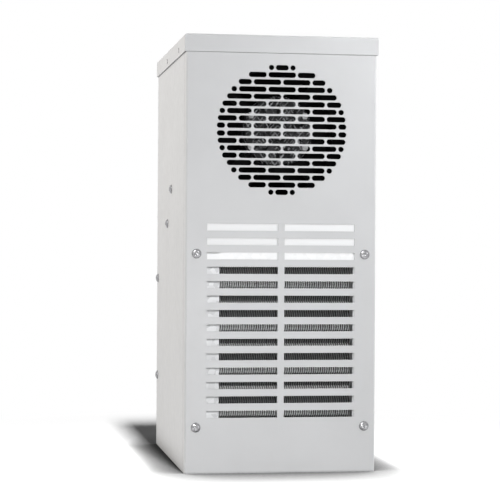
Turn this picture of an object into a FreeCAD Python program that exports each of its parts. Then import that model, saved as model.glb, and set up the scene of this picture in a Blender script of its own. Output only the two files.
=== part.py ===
import FreeCAD, Part
import math
import os
import re
from types import SimpleNamespace

import Sketcher

# Enclosure air conditioner: a tall sheet-metal cabinet that hangs on an enclosure by its back.
# Origin at the middle of the foot, +Z up, front towards -Y, sizes in millimetres.

doc = FreeCAD.newDocument("enclosure_air_conditioner")

SIZES = (
    # Cabinet
    ("width", 230, "over the side panels"),
    ("depth", 320, "front face to back face"),
    ("height", 520, "foot to lid top"),
    ("sheet", 1.5, "painted cabinet sheet"),
    ("bend", 2.5, "outside radius of a cabinet fold"),
    ("fit", 0.2, "clearance between nested pieces"),
    ("front_return", 16, "front panel folded round each corner"),
    ("seam", 0.8, "gap between front return and side panel"),
    ("lap", 12, "side panel lip behind the seam"),
    ("lid_height", 21, "lid skirt"),
    ("lid_gap", 0.3, "lid to what it covers"),
    ("lid_seam", 0.7, "open corner of the lid skirt"),
    ("base_flange", 25, "upturned edge of the base pan"),
    ("back_flange", 22, "forward fold of the back panel"),
    # Fan grille and louvres of the front panel
    ("grille_drop", 112.4, "fan axis below the lid top"),
    ("grille_radius", 78.4, "slotted circle"),
    ("grille_slot", 6.35, "slot height"),
    ("grille_web", 2.2, "metal between two slots of a row"),
    ("grille_step", 35.4, "slot to slot along a row"),
    ("grille_outer", 67.3, "outer web of every second row from the middle"),
    ("grille_row", 8.68, "row to row"),
    ("grille_middle", 9.38, "across the middle bar, row to row"),
    ("grille_rows", 9, "rows above the middle, and below"),
    ("louvre_z", 69.8, "lowest louvre row"),
    ("louvre_row", 17.06, "row to row"),
    ("louvre_gap", 30, "least metal between the louvres and the grille"),
    ("louvre_slot", 8.4, "slot height"),
    ("louvre_margin", 26, "louvres inside the side face"),
    ("louvre_bar", 8, "bar between the two columns"),
    # Screws and rivets
    ("screw_radius", 2.6, "shank"),
    ("screw_length", 9, "shank under the head"),
    ("head_radius", 5.6, "pan head"),
    ("head_height", 3.2, "pan head"),
    ("head_edge", 1, "straight edge of the pan head"),
    ("front_screw_inset", 13.5, "front screw inside the side face"),
    ("front_screw_low", 54.5, "height"),
    ("front_screw_drop", 1.8, "upper front screw below the top of the fins"),
    ("wall_screw_inset", 10, "side screw behind and below a fold of the partition"),
    ("back_screw_inset", 12, "side screw in front of the back face"),
    ("back_screw_low", 95, "height"),
    ("back_screw_high", 226, "height"),
    ("rivet_radius", 3, "lid rivet head"),
    ("rivet_height", 0.7, "lid rivet head"),
    ("rivet_front", 63, "first lid rivet behind the front face"),
    ("rivet_step", 129, "to the next lid rivet"),
    ("rivet_drop", 13.4, "lid rivet below the lid top"),
    # Inner sheet metal
    ("inner_sheet", 1.2, "galvanised sheet"),
    ("wall_high", 142, "upper partition wall behind the front face"),
    ("wall_low", 183, "lower partition wall behind the front face"),
    ("fold_drop", 169, "upper fold of the partition below the lid top"),
    ("fold_height", 43, "between the two folds of the partition"),
    ("wall_flange", 20, "side flange of the partition"),
    ("foam", 10, "insulation on the partition"),
    ("shroud_depth", 84, "fan plate behind the front face"),
    ("shelf_gap", 24.6, "shelf below the fan hole"),
    ("orifice_radius", 79, "fan hole"),
    ("orifice_depth", 24, "collar of the fan hole"),
    # Condenser coil
    ("coil_left_inset", 41, "fins inside the left side face"),
    ("coil_right_inset", 27.5, "fins inside the right side face"),
    ("coil_front", 9, "fins behind the front face"),
    ("coil_depth", 22, "fin depth, both coils"),
    ("coil_z", 71.3, "lowest tube"),
    ("coil_headroom", 20, "least space between the fins and the shelf"),
    ("tube_step", 25.4, "tube to tube, both coils"),
    ("tube_radius", 4.76, "both coils"),
    ("tube_stub", 8, "straight tube past an end plate"),
    ("hairpin_stub", 1.5, "straight tube past the condenser's right end plate"),
    ("fin_step", 2.7, "condenser fin to fin"),
    ("fin_sheet", 0.25, "fin thickness, both coils"),
    ("end_margin", 10, "end plate past the fins"),
    ("end_flange", 36, "end plate flange to the side"),
    ("channel_drop", 14, "front edge of the channel over the coil"),
    # Condenser fan
    ("motor_depth", 30, "motor face behind the front face"),
    ("motor_radius", 41.5, "stator"),
    ("bell_length", 14, "end bell of the motor"),
    ("bell_rim", 1.5, "end bell outside the stator"),
    ("bell_slope", 3, "sloped edge of both motors"),
    ("boss_radius", 12, "bearing boss"),
    ("boss_height", 4, "bearing boss"),
    ("vent_count", 10, "slots of the end bell"),
    ("vent_width", 5, "slot of the end bell"),
    ("vent_inner", 18, "slot's inner end"),
    ("vent_outer", 33, "slot's outer end"),
    ("vent_depth", 8, "slot depth"),
    ("tie_radius", 38, "circle of the motor tie bolts"),
    ("tie_angle", 30, "tie bolts above and below level, degrees"),
    ("tie_nut", 4, "tie bolt nut, corner radius"),
    ("tie_nut_height", 3.5, "tie bolt nut"),
    ("arm_width", 14, "motor bracket"),
    ("arm_sheet", 2, "motor bracket"),
    ("arm_reach", 94, "motor bracket end from the axis"),
    ("arm_angle", 45, "motor bracket, degrees"),
    ("arm_hole", 8, "motor bracket, round the shaft"),
    ("shaft_radius", 4, "fan shafts"),
    ("shaft_grip", 22, "shaft inside its motor"),
    ("running_gap", 0.05, "shaft to bearing"),
    ("hub_radius", 22, "condenser fan"),
    ("hub_length", 20, "condenser fan"),
    ("hub_gap", 4, "hub behind the motor bracket"),
    ("blade_radius", 74, "condenser fan"),
    ("blade_count", 5, "condenser fan"),
    ("blade_chord", 40, "condenser fan"),
    ("blade_sheet", 1.8, "condenser fan"),
    ("blade_camber", 4, "condenser fan"),
    ("blade_pitch", 26, "condenser fan, degrees"),
    # Evaporator coil, its tray and the openings of the back panel
    ("evap_inset", 35, "fins inside the side faces"),
    ("evap_gap", 8, "fins in front of the back panel"),
    ("evap_z", 104, "lowest tube"),
    ("evap_tubes", 6, "tubes, an even number"),
    ("evap_fin_step", 2.82, "fin to fin"),
    ("evap_flange", 22, "end plate flange to the side"),
    ("outlet_edge", 4, "air outlet inside the ends of the fins"),
    ("outlet_low", 96, "air outlet, lower edge"),
    ("outlet_high", 239, "air outlet, upper edge"),
    ("tray_low", 64, "drain tray, underside"),
    ("tray_height", 20, "drain tray"),
    ("tray_inset", 15, "drain tray inside the side faces"),
    ("tray_depth", 66, "drain tray, front to back"),
    ("drain_radius", 7, "drain tube outside"),
    ("drain_bore", 5.5, "drain tube inside"),
    ("drain_x", 60, "drain tube from the middle"),
    ("drain_inset", 30, "drain tube in front of the back panel"),
    # Evaporator fan
    ("inlet_drop", 120, "fan axis below the lid top"),
    ("inlet_radius", 46, "inlet ring inside"),
    ("inlet_length", 20, "inlet ring"),
    ("inlet_flange", 6, "inlet ring flange outside the bore"),
    ("guard_radius", 56, "finger guard"),
    ("guard_sheet", 1.5, "finger guard"),
    ("guard_bar", 3, "bar and ring width of the finger guard"),
    ("guard_rings", 4, "rings of the finger guard"),
    ("impeller_radius", 66, "impeller"),
    ("impeller_width", 46, "impeller, front to back"),
    ("impeller_disc", 2, "impeller discs and blades"),
    ("impeller_overlap", 4, "inlet ring inside the impeller"),
    ("impeller_gap", 1.8, "inlet ring to impeller"),
    ("impeller_blades", 7, "impeller"),
    ("impeller_sweep", 38, "blade from eye to rim, degrees"),
    ("impeller_camber", 5.5, "blade"),
    ("impeller_hub", 16, "hub radius"),
    ("impeller_hub_length", 24, "hub"),
    ("evap_motor_radius", 36, "motor"),
    ("evap_motor_length", 44, "motor"),
    ("evap_motor_gap", 5, "motor to impeller"),
    ("stand_half", 62, "motor stand plate, half width"),
    ("post_place", 54, "motor stand post from the axis, each way"),
    ("post_radius", 5, "motor stand post"),
    # Compressor
    ("can_gap", 7.5, "compressor to electrical box"),
    ("can_depth", 120, "compressor axis behind the front face"),
    ("can_radius", 56, "compressor can"),
    ("can_height", 152, "compressor can"),
    ("can_dome", 26, "rounding of the can's ends"),
    ("can_rib", 2.5, "weld rib of the can"),
    ("can_rib_height", 5, "weld rib of the can"),
    ("can_rib_z", 91, "weld rib above the foot plate"),
    ("port_offset", 18.5, "line ports of the can from its axis, each way"),
    ("foot_half", 54, "foot plate, half width"),
    ("foot_sheet", 3, "foot plate"),
    ("foot_bolt", 45, "foot bolt from the axis, each way"),
    ("grommet_radius", 9, "rubber foot"),
    ("grommet_height", 13, "rubber foot"),
    ("stud_radius", 3, "foot bolt"),
    ("stud_nut", 5.8, "foot bolt nut, corner radius"),
    ("stud_nut_height", 5, "foot bolt nut"),
    ("cover_width", 34, "terminal cover"),
    ("cover_height", 46, "terminal cover"),
    ("cover_depth", 15, "terminal cover past the can"),
    ("cover_z", 92, "terminal cover, underside"),
    # Refrigerant lines
    ("discharge_radius", 4, "line from compressor to condenser"),
    ("suction_radius", 4.8, "line from evaporator to compressor"),
    ("liquid_radius", 3.2, "line from condenser to drier"),
    ("capillary_radius", 1.6, "line from drier to evaporator"),
    ("line_bend", 14, "bend radius of the lines"),
    ("line_dip", 3, "line into the compressor"),
    ("line_hole", 2, "hole in the partition outside a line"),
    ("line_inset", 11, "lines inside the left side face"),
    ("small_bend", 8, "bend radius of the liquid line and capillary"),
    ("capillary_inset", 21, "capillary and drier inside the left side face"),
    ("capillary_z", 196, "capillary through the partition"),
    ("capillary_run", 37, "upright run of the capillary in front of the evaporator tubes"),
    ("drier_depth", 95, "drier behind the front face"),
    ("drier_radius", 12, "filter drier"),
    ("drier_neck", 5, "filter drier ends"),
    ("drier_low", 92, "filter drier, lower end"),
    ("drier_length", 84, "filter drier"),
    ("drier_cone", 12, "tapered ends of the drier"),
    # Electrical box and what it holds
    ("case_width", 39.3, "box"),
    ("case_front", 66, "box behind the front face"),
    ("case_depth", 108, "box"),
    ("case_low", 34, "box, underside"),
    ("case_height", 158, "box"),
    ("capacitor_radius", 14, "run capacitor"),
    ("capacitor_height", 62, "run capacitor"),
    ("relay_height", 46, "relay"),
    ("relay_depth", 40, "relay"),
    ("relay_width", 26, "relay"),
    ("relay_gap", 2, "relay above the capacitor"),
    ("terminal_height", 18, "terminal block"),
    ("terminal_depth", 70, "terminal block"),
    ("terminal_width", 22, "terminal block"),
    ("terminal_ways", 5, "terminal block"),
    ("terminal_groove", 7, "terminal block, groove width"),
    ("terminal_groove_depth", 6.6, "terminal block"),
    # Mounting, gland and thermostat on the back panel
    ("mount_inset", 14, "mounting holes inside the side faces"),
    ("mount_low", 36, "mounting holes from the foot and from the lid top"),
    ("mount_hole", 3, "bore of a mounting insert"),
    ("insert_radius", 4.6, "mounting insert body"),
    ("insert_head", 7, "mounting insert head"),
    ("insert_head_height", 1.2, "mounting insert head"),
    ("insert_length", 15, "mounting insert body"),
    ("gasket", 3.2, "gasket thickness"),
    ("gasket_width", 12, "gasket strip"),
    ("gasket_inset", 23, "gasket inside the side faces"),
    ("gasket_low", 20, "gasket, lower edge"),
    ("gasket_drop", 24, "gasket below the lid top"),
    ("gland_x", -50, "cable gland from the middle"),
    ("gland_z", 48, "cable gland height"),
    ("gland_radius", 8, "cable gland thread"),
    ("gland_bore", 5, "cable gland bore"),
    ("gland_nut", 12.5, "cable gland nut, corner radius"),
    ("gland_nut_height", 6, "cable gland nut"),
    ("gland_reach", 16, "cable gland past its nut"),
    ("dial_x", 58, "thermostat from the middle"),
    ("dial_rise", 26, "thermostat above the evaporator fins"),
    ("dial_radius", 11, "thermostat dial"),
    ("dial_height", 2.6, "thermostat dial"),
    ("dial_shaft", 3, "thermostat shaft"),
    ("dial_shaft_length", 12, "thermostat shaft inside the panel"),
    ("dial_gap", 0.4, "dial to panel"),
    ("dial_mark", 1.6, "pointer groove of the dial"),
    ("dial_mark_start", 2.5, "pointer groove from the dial's axis"),
    ("thermostat_half", 15, "thermostat body, half width"),
    ("thermostat_depth", 22, "thermostat body"),
)

sheet = doc.addObject("Spreadsheet::Sheet", "sizes")
for row, (alias, value, note) in enumerate(SIZES, 1):
    sheet.set(f"A{row}", f"{alias}: {note}")
    sheet.set(f"B{row}", str(value))
    sheet.setAlias(f"B{row}", alias)
doc.recompute()

# Places and counts that follow from the sizes
PLACES = (
    ("grille_z", "height - grille_drop"),
    ("louvre_length", "width / 2 - louvre_bar / 2 - louvre_margin"),
    ("louvre_rows", "floor((grille_z - grille_radius - louvre_gap - louvre_z) / louvre_row) + 1"),
    ("fold_high", "height - fold_drop"),
    ("fold_low", "fold_high - fold_height"),
    ("shroud_shelf", "grille_z - orifice_radius - shelf_gap"),
    ("coil_left", "width / 2 - coil_left_inset"),
    ("coil_right", "width / 2 - coil_right_inset"),
    ("coil_tubes", "2 * floor(((shroud_shelf - coil_headroom - coil_z) / tube_step + 0.5) / 2)"),
    ("coil_low", "coil_z - 0.5 * tube_step"),
    ("coil_high", "coil_z + (coil_tubes - 0.5) * tube_step"),
    ("front_screw_x", "width / 2 - front_screw_inset"),
    ("front_screw_high", "coil_high - front_screw_drop"),
    ("evap_half", "width / 2 - evap_inset"),
    ("evap_high", "evap_z + (evap_tubes - 0.5) * tube_step"),
    ("outlet_half", "evap_half - outlet_edge"),
    ("tray_half", "width / 2 - tray_inset"),
    ("inlet_z", "height - inlet_drop"),
    ("line_x", "width / 2 - line_inset"),
    ("capillary_x", "width / 2 - capillary_inset"),
    ("case_left", "width / 2 - sheet - fit - case_width"),
    ("can_x", "case_left - can_gap - can_radius - can_rib"),
    ("mount_x", "width / 2 - mount_inset"),
    ("mount_high", "height - mount_low"),
    ("gasket_half", "width / 2 - gasket_inset"),
    ("gasket_high", "height - gasket_drop"),
    ("dial_z", "evap_high + dial_rise"),
)

OWNERS = {alias: "sizes" for alias, _, _ in SIZES} | {name: "places" for name, _ in PLACES}


def formula(text):
    """The text of an expression, with each name pointing at the object that holds its value."""
    return re.sub(r"[a-z]\w*", lambda m: f"{OWNERS[m[0]]}.{m[0]}" if m[0] in OWNERS else m[0], text)


places = doc.addObject("App::VarSet", "places")
for name, text in PLACES:
    places.addProperty("App::PropertyFloat", name)
    places.setExpression(name, formula(text))
doc.recompute()

size = SimpleNamespace(
    **{alias: float(sheet.get(alias)) for alias, _, _ in SIZES},
    **{name: getattr(places, name) for name, _ in PLACES})
nodes = []

# Planes that many pieces share
FRONT = "(-depth / 2)"
BACK = "(depth / 2)"
SIDE = "(width / 2)"
INSIDE = "(width / 2 - sheet - fit)"
WITHIN_LIP = "(width / 2 - 2 * sheet - fit)"
UNDER_LID = "(height - sheet - lid_gap)"
MOTOR_BACK = f"({FRONT} + shroud_depth - arm_sheet)"
FAN_Y = f"({FRONT} + shroud_depth + hub_gap + hub_length / 2)"
OVER_CHANNEL = "(coil_high + 2 * inner_sheet)"


def bind(thing, prop, text):
    thing.setExpression(prop, formula(text))


def place(thing, x, y, z):
    for axis, text in zip("xyz", (x, y, z)):
        bind(thing, f"Placement.Base.{axis}", text)


def node(thing, label):
    thing.Label = label
    nodes.append(thing)
    return thing


# Solids from primitives
def block(name, x, y, z):
    """A box between two planes along each axis."""
    box = doc.addObject("Part::Box", name)
    for prop, axis, (low, high) in zip(("Length", "Width", "Height"), "xyz", (x, y, z)):
        bind(box, prop, f"({high}) - ({low})")
        bind(box, f"Placement.Base.{axis}", low)
    return box


TURNS = {
    "x": FreeCAD.Rotation(FreeCAD.Vector(0, 1, 0), 90),
    "y": FreeCAD.Rotation(FreeCAD.Vector(1, 0, 0), -90),
    "z": FreeCAD.Rotation(),
}


def rod(name, axis, start, radius, length):
    """A cylinder from a point along +X, +Y or +Z."""
    cylinder = doc.addObject("Part::Cylinder", name)
    cylinder.Placement = FreeCAD.Placement(FreeCAD.Vector(), TURNS[axis])
    bind(cylinder, "Radius", radius)
    bind(cylinder, "Height", length)
    place(cylinder, *start)
    return cylinder


def group(name, pieces):
    """Separate solids that share a name."""
    made = doc.addObject("Part::Compound", name)
    made.Links = pieces
    return made


def fuse(name, pieces):
    made = doc.addObject("Part::MultiFuse", name)
    made.Shapes = pieces
    return made


def cut(name, base, tools):
    made = doc.addObject("Part::Cut", name)
    made.Base = base
    made.Tool = group(f"{name}_tools", tools)
    return made


def mirror(name, source):
    """The same piece on the other side of the cabinet."""
    made = doc.addObject("Part::Mirroring", name)
    made.Source = source
    made.Normal = FreeCAD.Vector(1, 0, 0)
    return made


# Bodies from sketches
def body(name):
    return doc.addObject("PartDesign::Body", name)


def origin_feature(owner, role):
    return next(f for f in owner.Origin.OriginFeatures if f.Role == role)


def drawing(owner, role, name, lift="0"):
    """A sketch on one of the body's own planes, lifted along the plane's normal."""
    sketch = owner.newObject("Sketcher::SketchObject", name)
    sketch.AttachmentSupport = [(origin_feature(owner, role), "")]
    sketch.MapMode = "FlatFace"
    bind(sketch, "AttachmentOffset.Base.z", lift)
    return sketch


def pin_point(sketch, geometry, end, x, y):
    for kind, text in (("DistanceX", x), ("DistanceY", y)):
        index = sketch.addConstraint(Sketcher.Constraint(kind, geometry, end, 1.0))
        bind(sketch, f"Constraints[{index}]", text)


def outline(sketch, points):
    """A closed outline of straight lines through points given as pairs of formulas."""
    first = sketch.GeometryCount
    count = len(points)
    for i in range(count):
        start = FreeCAD.Vector(i, i * i, 0)
        stop = FreeCAD.Vector(i + 1, (i + 1) ** 2, 0)
        sketch.addGeometry(Part.LineSegment(start, stop), False)
    for i, (x, y) in enumerate(points):
        after = first + (i + 1) % count
        sketch.addConstraint(Sketcher.Constraint("Coincident", first + i, 2, after, 1))
        pin_point(sketch, first + i, 1, x, y)


def rectangle(sketch, x, y):
    outline(sketch, [(x[0], y[0]), (x[1], y[0]), (x[1], y[1]), (x[0], y[1])])


def circle(sketch, x, y, radius):
    index = sketch.addGeometry(Part.Circle(FreeCAD.Vector(1, 1, 0), FreeCAD.Vector(0, 0, 1), 1), False)
    pin_point(sketch, index, 3, x, y)
    constraint = sketch.addConstraint(Sketcher.Constraint("Radius", index, 1.0))
    bind(sketch, f"Constraints[{constraint}]", radius)


def feature(owner, kind, sketch):
    made = owner.newObject(f"PartDesign::{kind}", f"{sketch.Name}_{kind.lower()}")
    made.Profile = sketch
    owner.Tip = made
    return made


def pad(owner, sketch, length, both_ways=False, backwards=False):
    made = feature(owner, "Pad", sketch)
    bind(made, "Length", length)
    made.Reversed = backwards
    if both_ways:
        made.SideType = "Symmetric"
    return made


def pocket(owner, sketch, length, backwards=False):
    made = feature(owner, "Pocket", sketch)
    bind(made, "Length", length)
    made.Reversed = backwards
    return made


def punch(owner, sketch):
    """A cut right through the body, both ways from the sketch."""
    made = feature(owner, "Pocket", sketch)
    made.Type = "ThroughAll"
    made.SideType = "Symmetric"
    return made


def turn(owner, sketch, kind="Revolution"):
    """A full turn about the sketch's own upright axis."""
    made = feature(owner, kind, sketch)
    made.ReferenceAxis = (sketch, ["V_Axis"])
    made.Angle = 360
    return made


def round_edges(owner, base, radius, wanted):
    doc.recompute()
    edges = [f"Edge{i}" for i, edge in enumerate(base.Shape.Edges, 1) if wanted(edge)]
    made = owner.newObject("PartDesign::Fillet", f"{base.Name}_round")
    made.Base = (base, edges)
    bind(made, "Radius", radius)
    owner.Tip = made
    return made


def repeat_along(owner, base, axis, step, count):
    """Copies of a feature along one of the body's axes."""
    made = owner.newObject("PartDesign::LinearPattern", f"{base.Name}_rows")
    made.Originals = [base]
    made.Direction = (origin_feature(owner, axis), [""])
    bind(made, "Length", f"({step}) * ({count} - 1)")
    bind(made, "Occurrences", count)
    owner.Tip = made
    return made


def repeat_round(owner, originals, axis, count):
    """Copies of features about one of the body's axes."""
    made = owner.newObject("PartDesign::PolarPattern", f"{originals[0].Name}_ring")
    made.Originals = originals
    made.Axis = (origin_feature(owner, axis), [""])
    made.Angle = 360
    bind(made, "Occurrences", count)
    owner.Tip = made
    return made


def near(value, target):
    return abs(value - target) < 1e-4


def is_upright(edge):
    return near(edge.BoundBox.ZLength, edge.Length)


# Front panel: folded round the corners, slotted for the fan and louvred for the coil
def add_slot(sketch, left, right, level, radius):
    """A slot with round ends, or a round hole where it is no longer than it is high."""
    up = FreeCAD.Vector(0, 0, 1)
    if right - left <= 2 * radius:
        middle = FreeCAD.Vector((left + right) / 2, level, 0)
        sketch.addGeometry(Part.Circle(middle, up, radius), False)
        return
    start = FreeCAD.Vector(left + radius, level, 0)
    stop = FreeCAD.Vector(right - radius, level, 0)
    rise = FreeCAD.Vector(0, radius, 0)
    quarter = math.pi / 2
    sketch.addGeometry(Part.LineSegment(start - rise, stop - rise), False)
    sketch.addGeometry(Part.ArcOfCircle(Part.Circle(stop, up, radius), -quarter, quarter), False)
    sketch.addGeometry(Part.LineSegment(stop + rise, start + rise), False)
    sketch.addGeometry(Part.ArcOfCircle(Part.Circle(start, up, radius), quarter, 3 * quarter), False)


def web_places(row):
    """Where the metal between slots stands, on one side of the middle; row 1 is at the rim."""
    if row == 1:
        return [size.grille_step / 4]
    if row % 2:
        return [0, size.grille_step, size.grille_outer]
    return [size.grille_step / 2, size.grille_step * 1.5]


def add_grille_row(sketch, row, offset):
    radius = size.grille_slot / 2
    half_web = size.grille_web / 2
    tip = math.sqrt((size.grille_radius - radius) ** 2 - offset ** 2) + radius
    webs = web_places(row)
    level = size.grille_z + offset
    if webs[0] > 0:
        add_slot(sketch, half_web - webs[0], webs[0] - half_web, level, radius)
    for web, after in zip(webs, webs[1:] + [tip + half_web]):
        left = web + half_web
        right = min(after - half_web, tip)
        if right - left > radius:
            add_slot(sketch, left, right, level, radius)
            add_slot(sketch, -right, -left, level, radius)


def make_front_panel():
    panel = body("front_blank")
    plan = drawing(panel, "XY_Plane", "front_plan")
    outer, inner = SIDE, f"({SIDE} - sheet)"
    edge, face = f"{FRONT} + front_return", f"{FRONT} + sheet"
    outline(plan, [
        (f"-{outer}", FRONT), (outer, FRONT), (outer, edge), (inner, edge),
        (inner, face), (f"-{inner}", face), (f"-{inner}", edge), (f"-{outer}", edge),
    ])
    folded = pad(panel, plan, UNDER_LID)
    y_front = -size.depth / 2
    folded = round_edges(panel, folded, "bend", lambda e: is_upright(e) and near(e.CenterOfMass.y, y_front))
    y_inner = y_front + size.sheet
    round_edges(panel, folded, "bend - sheet", lambda e: is_upright(e) and near(e.CenterOfMass.y, y_inner))
    louvre = drawing(panel, "XZ_Plane", "louvre_pair")
    level = ("louvre_z - louvre_slot / 2", "louvre_z + louvre_slot / 2")
    rectangle(louvre, ("louvre_bar / 2", "louvre_bar / 2 + louvre_length"), level)
    rectangle(louvre, ("-louvre_bar / 2 - louvre_length", "-louvre_bar / 2"), level)
    repeat_along(panel, punch(panel, louvre), "Z_Axis", "louvre_row", "louvre_rows")
    holes = drawing(panel, "XZ_Plane", "front_screw_holes")
    for x in ("front_screw_x", "-front_screw_x"):
        for z in ("front_screw_low", "front_screw_high"):
            circle(holes, x, z, "screw_radius + fit")
    punch(panel, holes)
    node(cut("front_panel_cut", panel, [make_grille()]), "front_panel")


def make_grille():
    """The fan slots as one tool that reaches through the front."""
    grille = doc.addObject("Sketcher::SketchObject", "grille_slots")
    grille.Placement.Rotation = FreeCAD.Rotation(FreeCAD.Vector(1, 0, 0), 90)
    for step in range(round(size.grille_rows)):
        offset = size.grille_middle / 2 + step * size.grille_row
        row = round(size.grille_rows) - step
        add_grille_row(grille, row, offset)
        add_grille_row(grille, row, -offset)
    tool = doc.addObject("Part::Extrusion", "grille_tool")
    tool.Base = grille
    tool.DirMode = "Custom"
    tool.Dir = FreeCAD.Vector(0, -1, 0)
    bind(tool, "LengthFwd", "depth")
    tool.Solid = True
    return tool


# Lid: a shallow pan over the cabinet, open at its corners
def make_lid():
    lid = body("top_lid")
    plan = drawing(lid, "XY_Plane", "lid_plan", "height - lid_height")
    over = "(lid_gap + sheet)"
    x = (f"-{SIDE} - {over}", f"{SIDE} + {over}")
    y = (f"{FRONT} - {over}", f"{BACK} + {over}")
    rectangle(plan, x, y)
    block_pad = pad(lid, plan, "lid_height")
    round_edges(lid, block_pad, "bend", lambda e: near(e.BoundBox.ZMin, size.height))
    inside = drawing(lid, "XY_Plane", "lid_inside", "height - lid_height")
    inner_x = (f"-{SIDE} - lid_gap", f"{SIDE} + lid_gap")
    rectangle(inside, inner_x, (f"{FRONT} - lid_gap", f"{BACK} + lid_gap"))
    pocket(lid, inside, "lid_height - sheet", backwards=True)
    corners = drawing(lid, "XY_Plane", "lid_corners", "height - lid_height")
    for x_out, x_in in ((x[0], f"{x[0]} + sheet"), (f"{x[1]} - sheet", x[1])):
        rectangle(corners, (x_out, x_in), (f"{y[0]} + sheet", f"{y[0]} + sheet + lid_seam"))
        rectangle(corners, (x_out, x_in), (f"{y[1]} - sheet - lid_seam", f"{y[1]} - sheet"))
    pocket(lid, corners, "lid_height - bend", backwards=True)
    node(lid, "top_lid")


# Side screws stand where the partition and the back panel have flanges
SIDE_SCREWS = (
    (f"{FRONT} + wall_high + wall_screw_inset", "fold_high - wall_screw_inset"),
    (f"{FRONT} + wall_low + wall_screw_inset", "fold_low - wall_screw_inset"),
    (f"{BACK} - back_screw_inset", "back_screw_high"),
    (f"{BACK} - back_screw_inset", "back_screw_low"),
)


# Side panels: each has a lip that runs on behind the front panel's return
def make_side_panels():
    panel = body("left_side_panel")
    plan = drawing(panel, "XY_Plane", "side_plan")
    start = f"{FRONT} + front_return + seam"
    lip = f"{FRONT} + sheet + bend"
    outer, inner, deep = f"-{SIDE}", f"-{SIDE} + sheet", f"-{SIDE} + 2 * sheet"
    outline(plan, [
        (outer, start), (outer, BACK), (inner, BACK), (inner, f"{start} + lap"),
        (deep, f"{start} + lap"), (deep, lip), (inner, lip), (inner, start),
    ])
    pad(panel, plan, UNDER_LID)
    holes = drawing(panel, "YZ_Plane", "side_screw_holes")
    for y, z in SIDE_SCREWS:
        circle(holes, y, z, "screw_radius + fit")
    punch(panel, holes)
    node(panel, "left_side_panel")
    node(mirror("right_side_panel", panel), "right_side_panel")


# Base pan: a tray with upturned edges
def make_base():
    pan = body("base_pan")
    plan = drawing(pan, "XY_Plane", "base_plan")
    x = (f"-{WITHIN_LIP}", WITHIN_LIP)
    y = (f"{FRONT} + sheet + fit", f"{BACK} - sheet - fit")
    rectangle(plan, x, y)
    pad(pan, plan, "base_flange")
    inside = drawing(pan, "XY_Plane", "base_inside", "sheet")
    rectangle(inside, (f"{x[0]} + sheet", f"{x[1]} - sheet"), (f"{y[0]} + sheet", f"{y[1]} - sheet"))
    pocket(pan, inside, "base_flange", backwards=True)
    holes = drawing(pan, "XY_Plane", "base_holes")
    circle(holes, "drain_x", f"{BACK} - drain_inset", "drain_radius + fit")
    punch(pan, holes)
    node(pan, "base_pan")


# Back panel: folded forward inside the side panels, open for the two air streams
MOUNTS = [(x, z) for x in ("mount_x", "-mount_x") for z in ("mount_low", "mount_high")]


def make_back():
    panel = body("back_panel")
    plan = drawing(panel, "XY_Plane", "back_plan")
    outer, inner = INSIDE, f"({INSIDE} - sheet)"
    edge, face = f"{BACK} - back_flange", f"{BACK} - sheet"
    outline(plan, [
        (f"-{outer}", BACK), (outer, BACK), (outer, edge), (inner, edge),
        (inner, face), (f"-{inner}", face), (f"-{inner}", edge), (f"-{outer}", edge),
    ])
    pad(panel, plan, UNDER_LID)
    openings = drawing(panel, "XZ_Plane", "back_openings")
    circle(openings, "0", "inlet_z", "inlet_radius")
    rectangle(openings, ("-outlet_half", "outlet_half"), ("outlet_low", "outlet_high"))
    circle(openings, "gland_x", "gland_z", "gland_radius + fit")
    circle(openings, "dial_x", "dial_z", "dial_shaft + dial_gap")
    for x, z in MOUNTS:
        circle(openings, x, z, "insert_radius")
    punch(panel, openings)
    node(panel, "back_panel")


def make_mounting():
    inserts = []
    for i, (x, z) in enumerate(MOUNTS):
        inner_end, before = (x, f"{BACK} - insert_length", z), (x, f"{BACK} - 2 * insert_length", z)
        inner = rod(f"insert_body_{i}", "y", inner_end, "insert_radius", "insert_length")
        head = rod(f"insert_head_{i}", "y", (x, BACK, z), "insert_head", "insert_head_height")
        bore = rod(f"insert_bore_{i}", "y", before, "mount_hole", "4 * insert_length")
        inserts.append(cut(f"insert_{i}", fuse(f"insert_solid_{i}", [inner, head]), [bore]))
    node(group("mounting_inserts", inserts), "mounting_inserts")
    outside = block(
        "gasket_outside", ("-gasket_half", "gasket_half"), (BACK, f"{BACK} + gasket"),
        ("gasket_low", "gasket_high"))
    inside = block(
        "gasket_inside", ("gasket_width - gasket_half", "gasket_half - gasket_width"),
        (f"{BACK} - gasket", f"{BACK} + 2 * gasket"),
        ("gasket_low + gasket_width", "gasket_high - gasket_width"))
    node(cut("rear_gasket", outside, [inside]), "rear_gasket")


# Partition between the outside air in front and the enclosure air behind
FOLD_RISE = "tan(atan((wall_low - wall_high) / (fold_high - fold_low)) / 2)"
SUCTION_Z = "(evap_z + (evap_tubes - 1) * tube_step)"
WALL_TOP = f"({UNDER_LID} - fit)"


def wall_profile(sketch, front, thick, low, high):
    """A wall with one slanting fold; front moves it back from the partition's own front."""
    upper, lower = f"({FRONT} + wall_high + {front})", f"({FRONT} + wall_low + {front})"
    rise = f"{FOLD_RISE} * ({front})"
    rise_back = f"{FOLD_RISE} * ({front} + {thick})"
    outline(sketch, [
        (upper, high), (upper, f"fold_high + {rise}"), (lower, f"fold_low + {rise}"), (lower, low),
        (f"{lower} + {thick}", low), (f"{lower} + {thick}", f"fold_low + {rise_back}"),
        (f"{upper} + {thick}", f"fold_high + {rise_back}"), (f"{upper} + {thick}", high),
    ])


def punch_lines(owner, name):
    """Holes for the suction line and the capillary."""
    holes = drawing(owner, "XZ_Plane", name)
    circle(holes, "-line_x", SUCTION_Z, "suction_radius + line_hole")
    circle(holes, "-capillary_x", "capillary_z", "capillary_radius + line_hole")
    punch(owner, holes)


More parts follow.
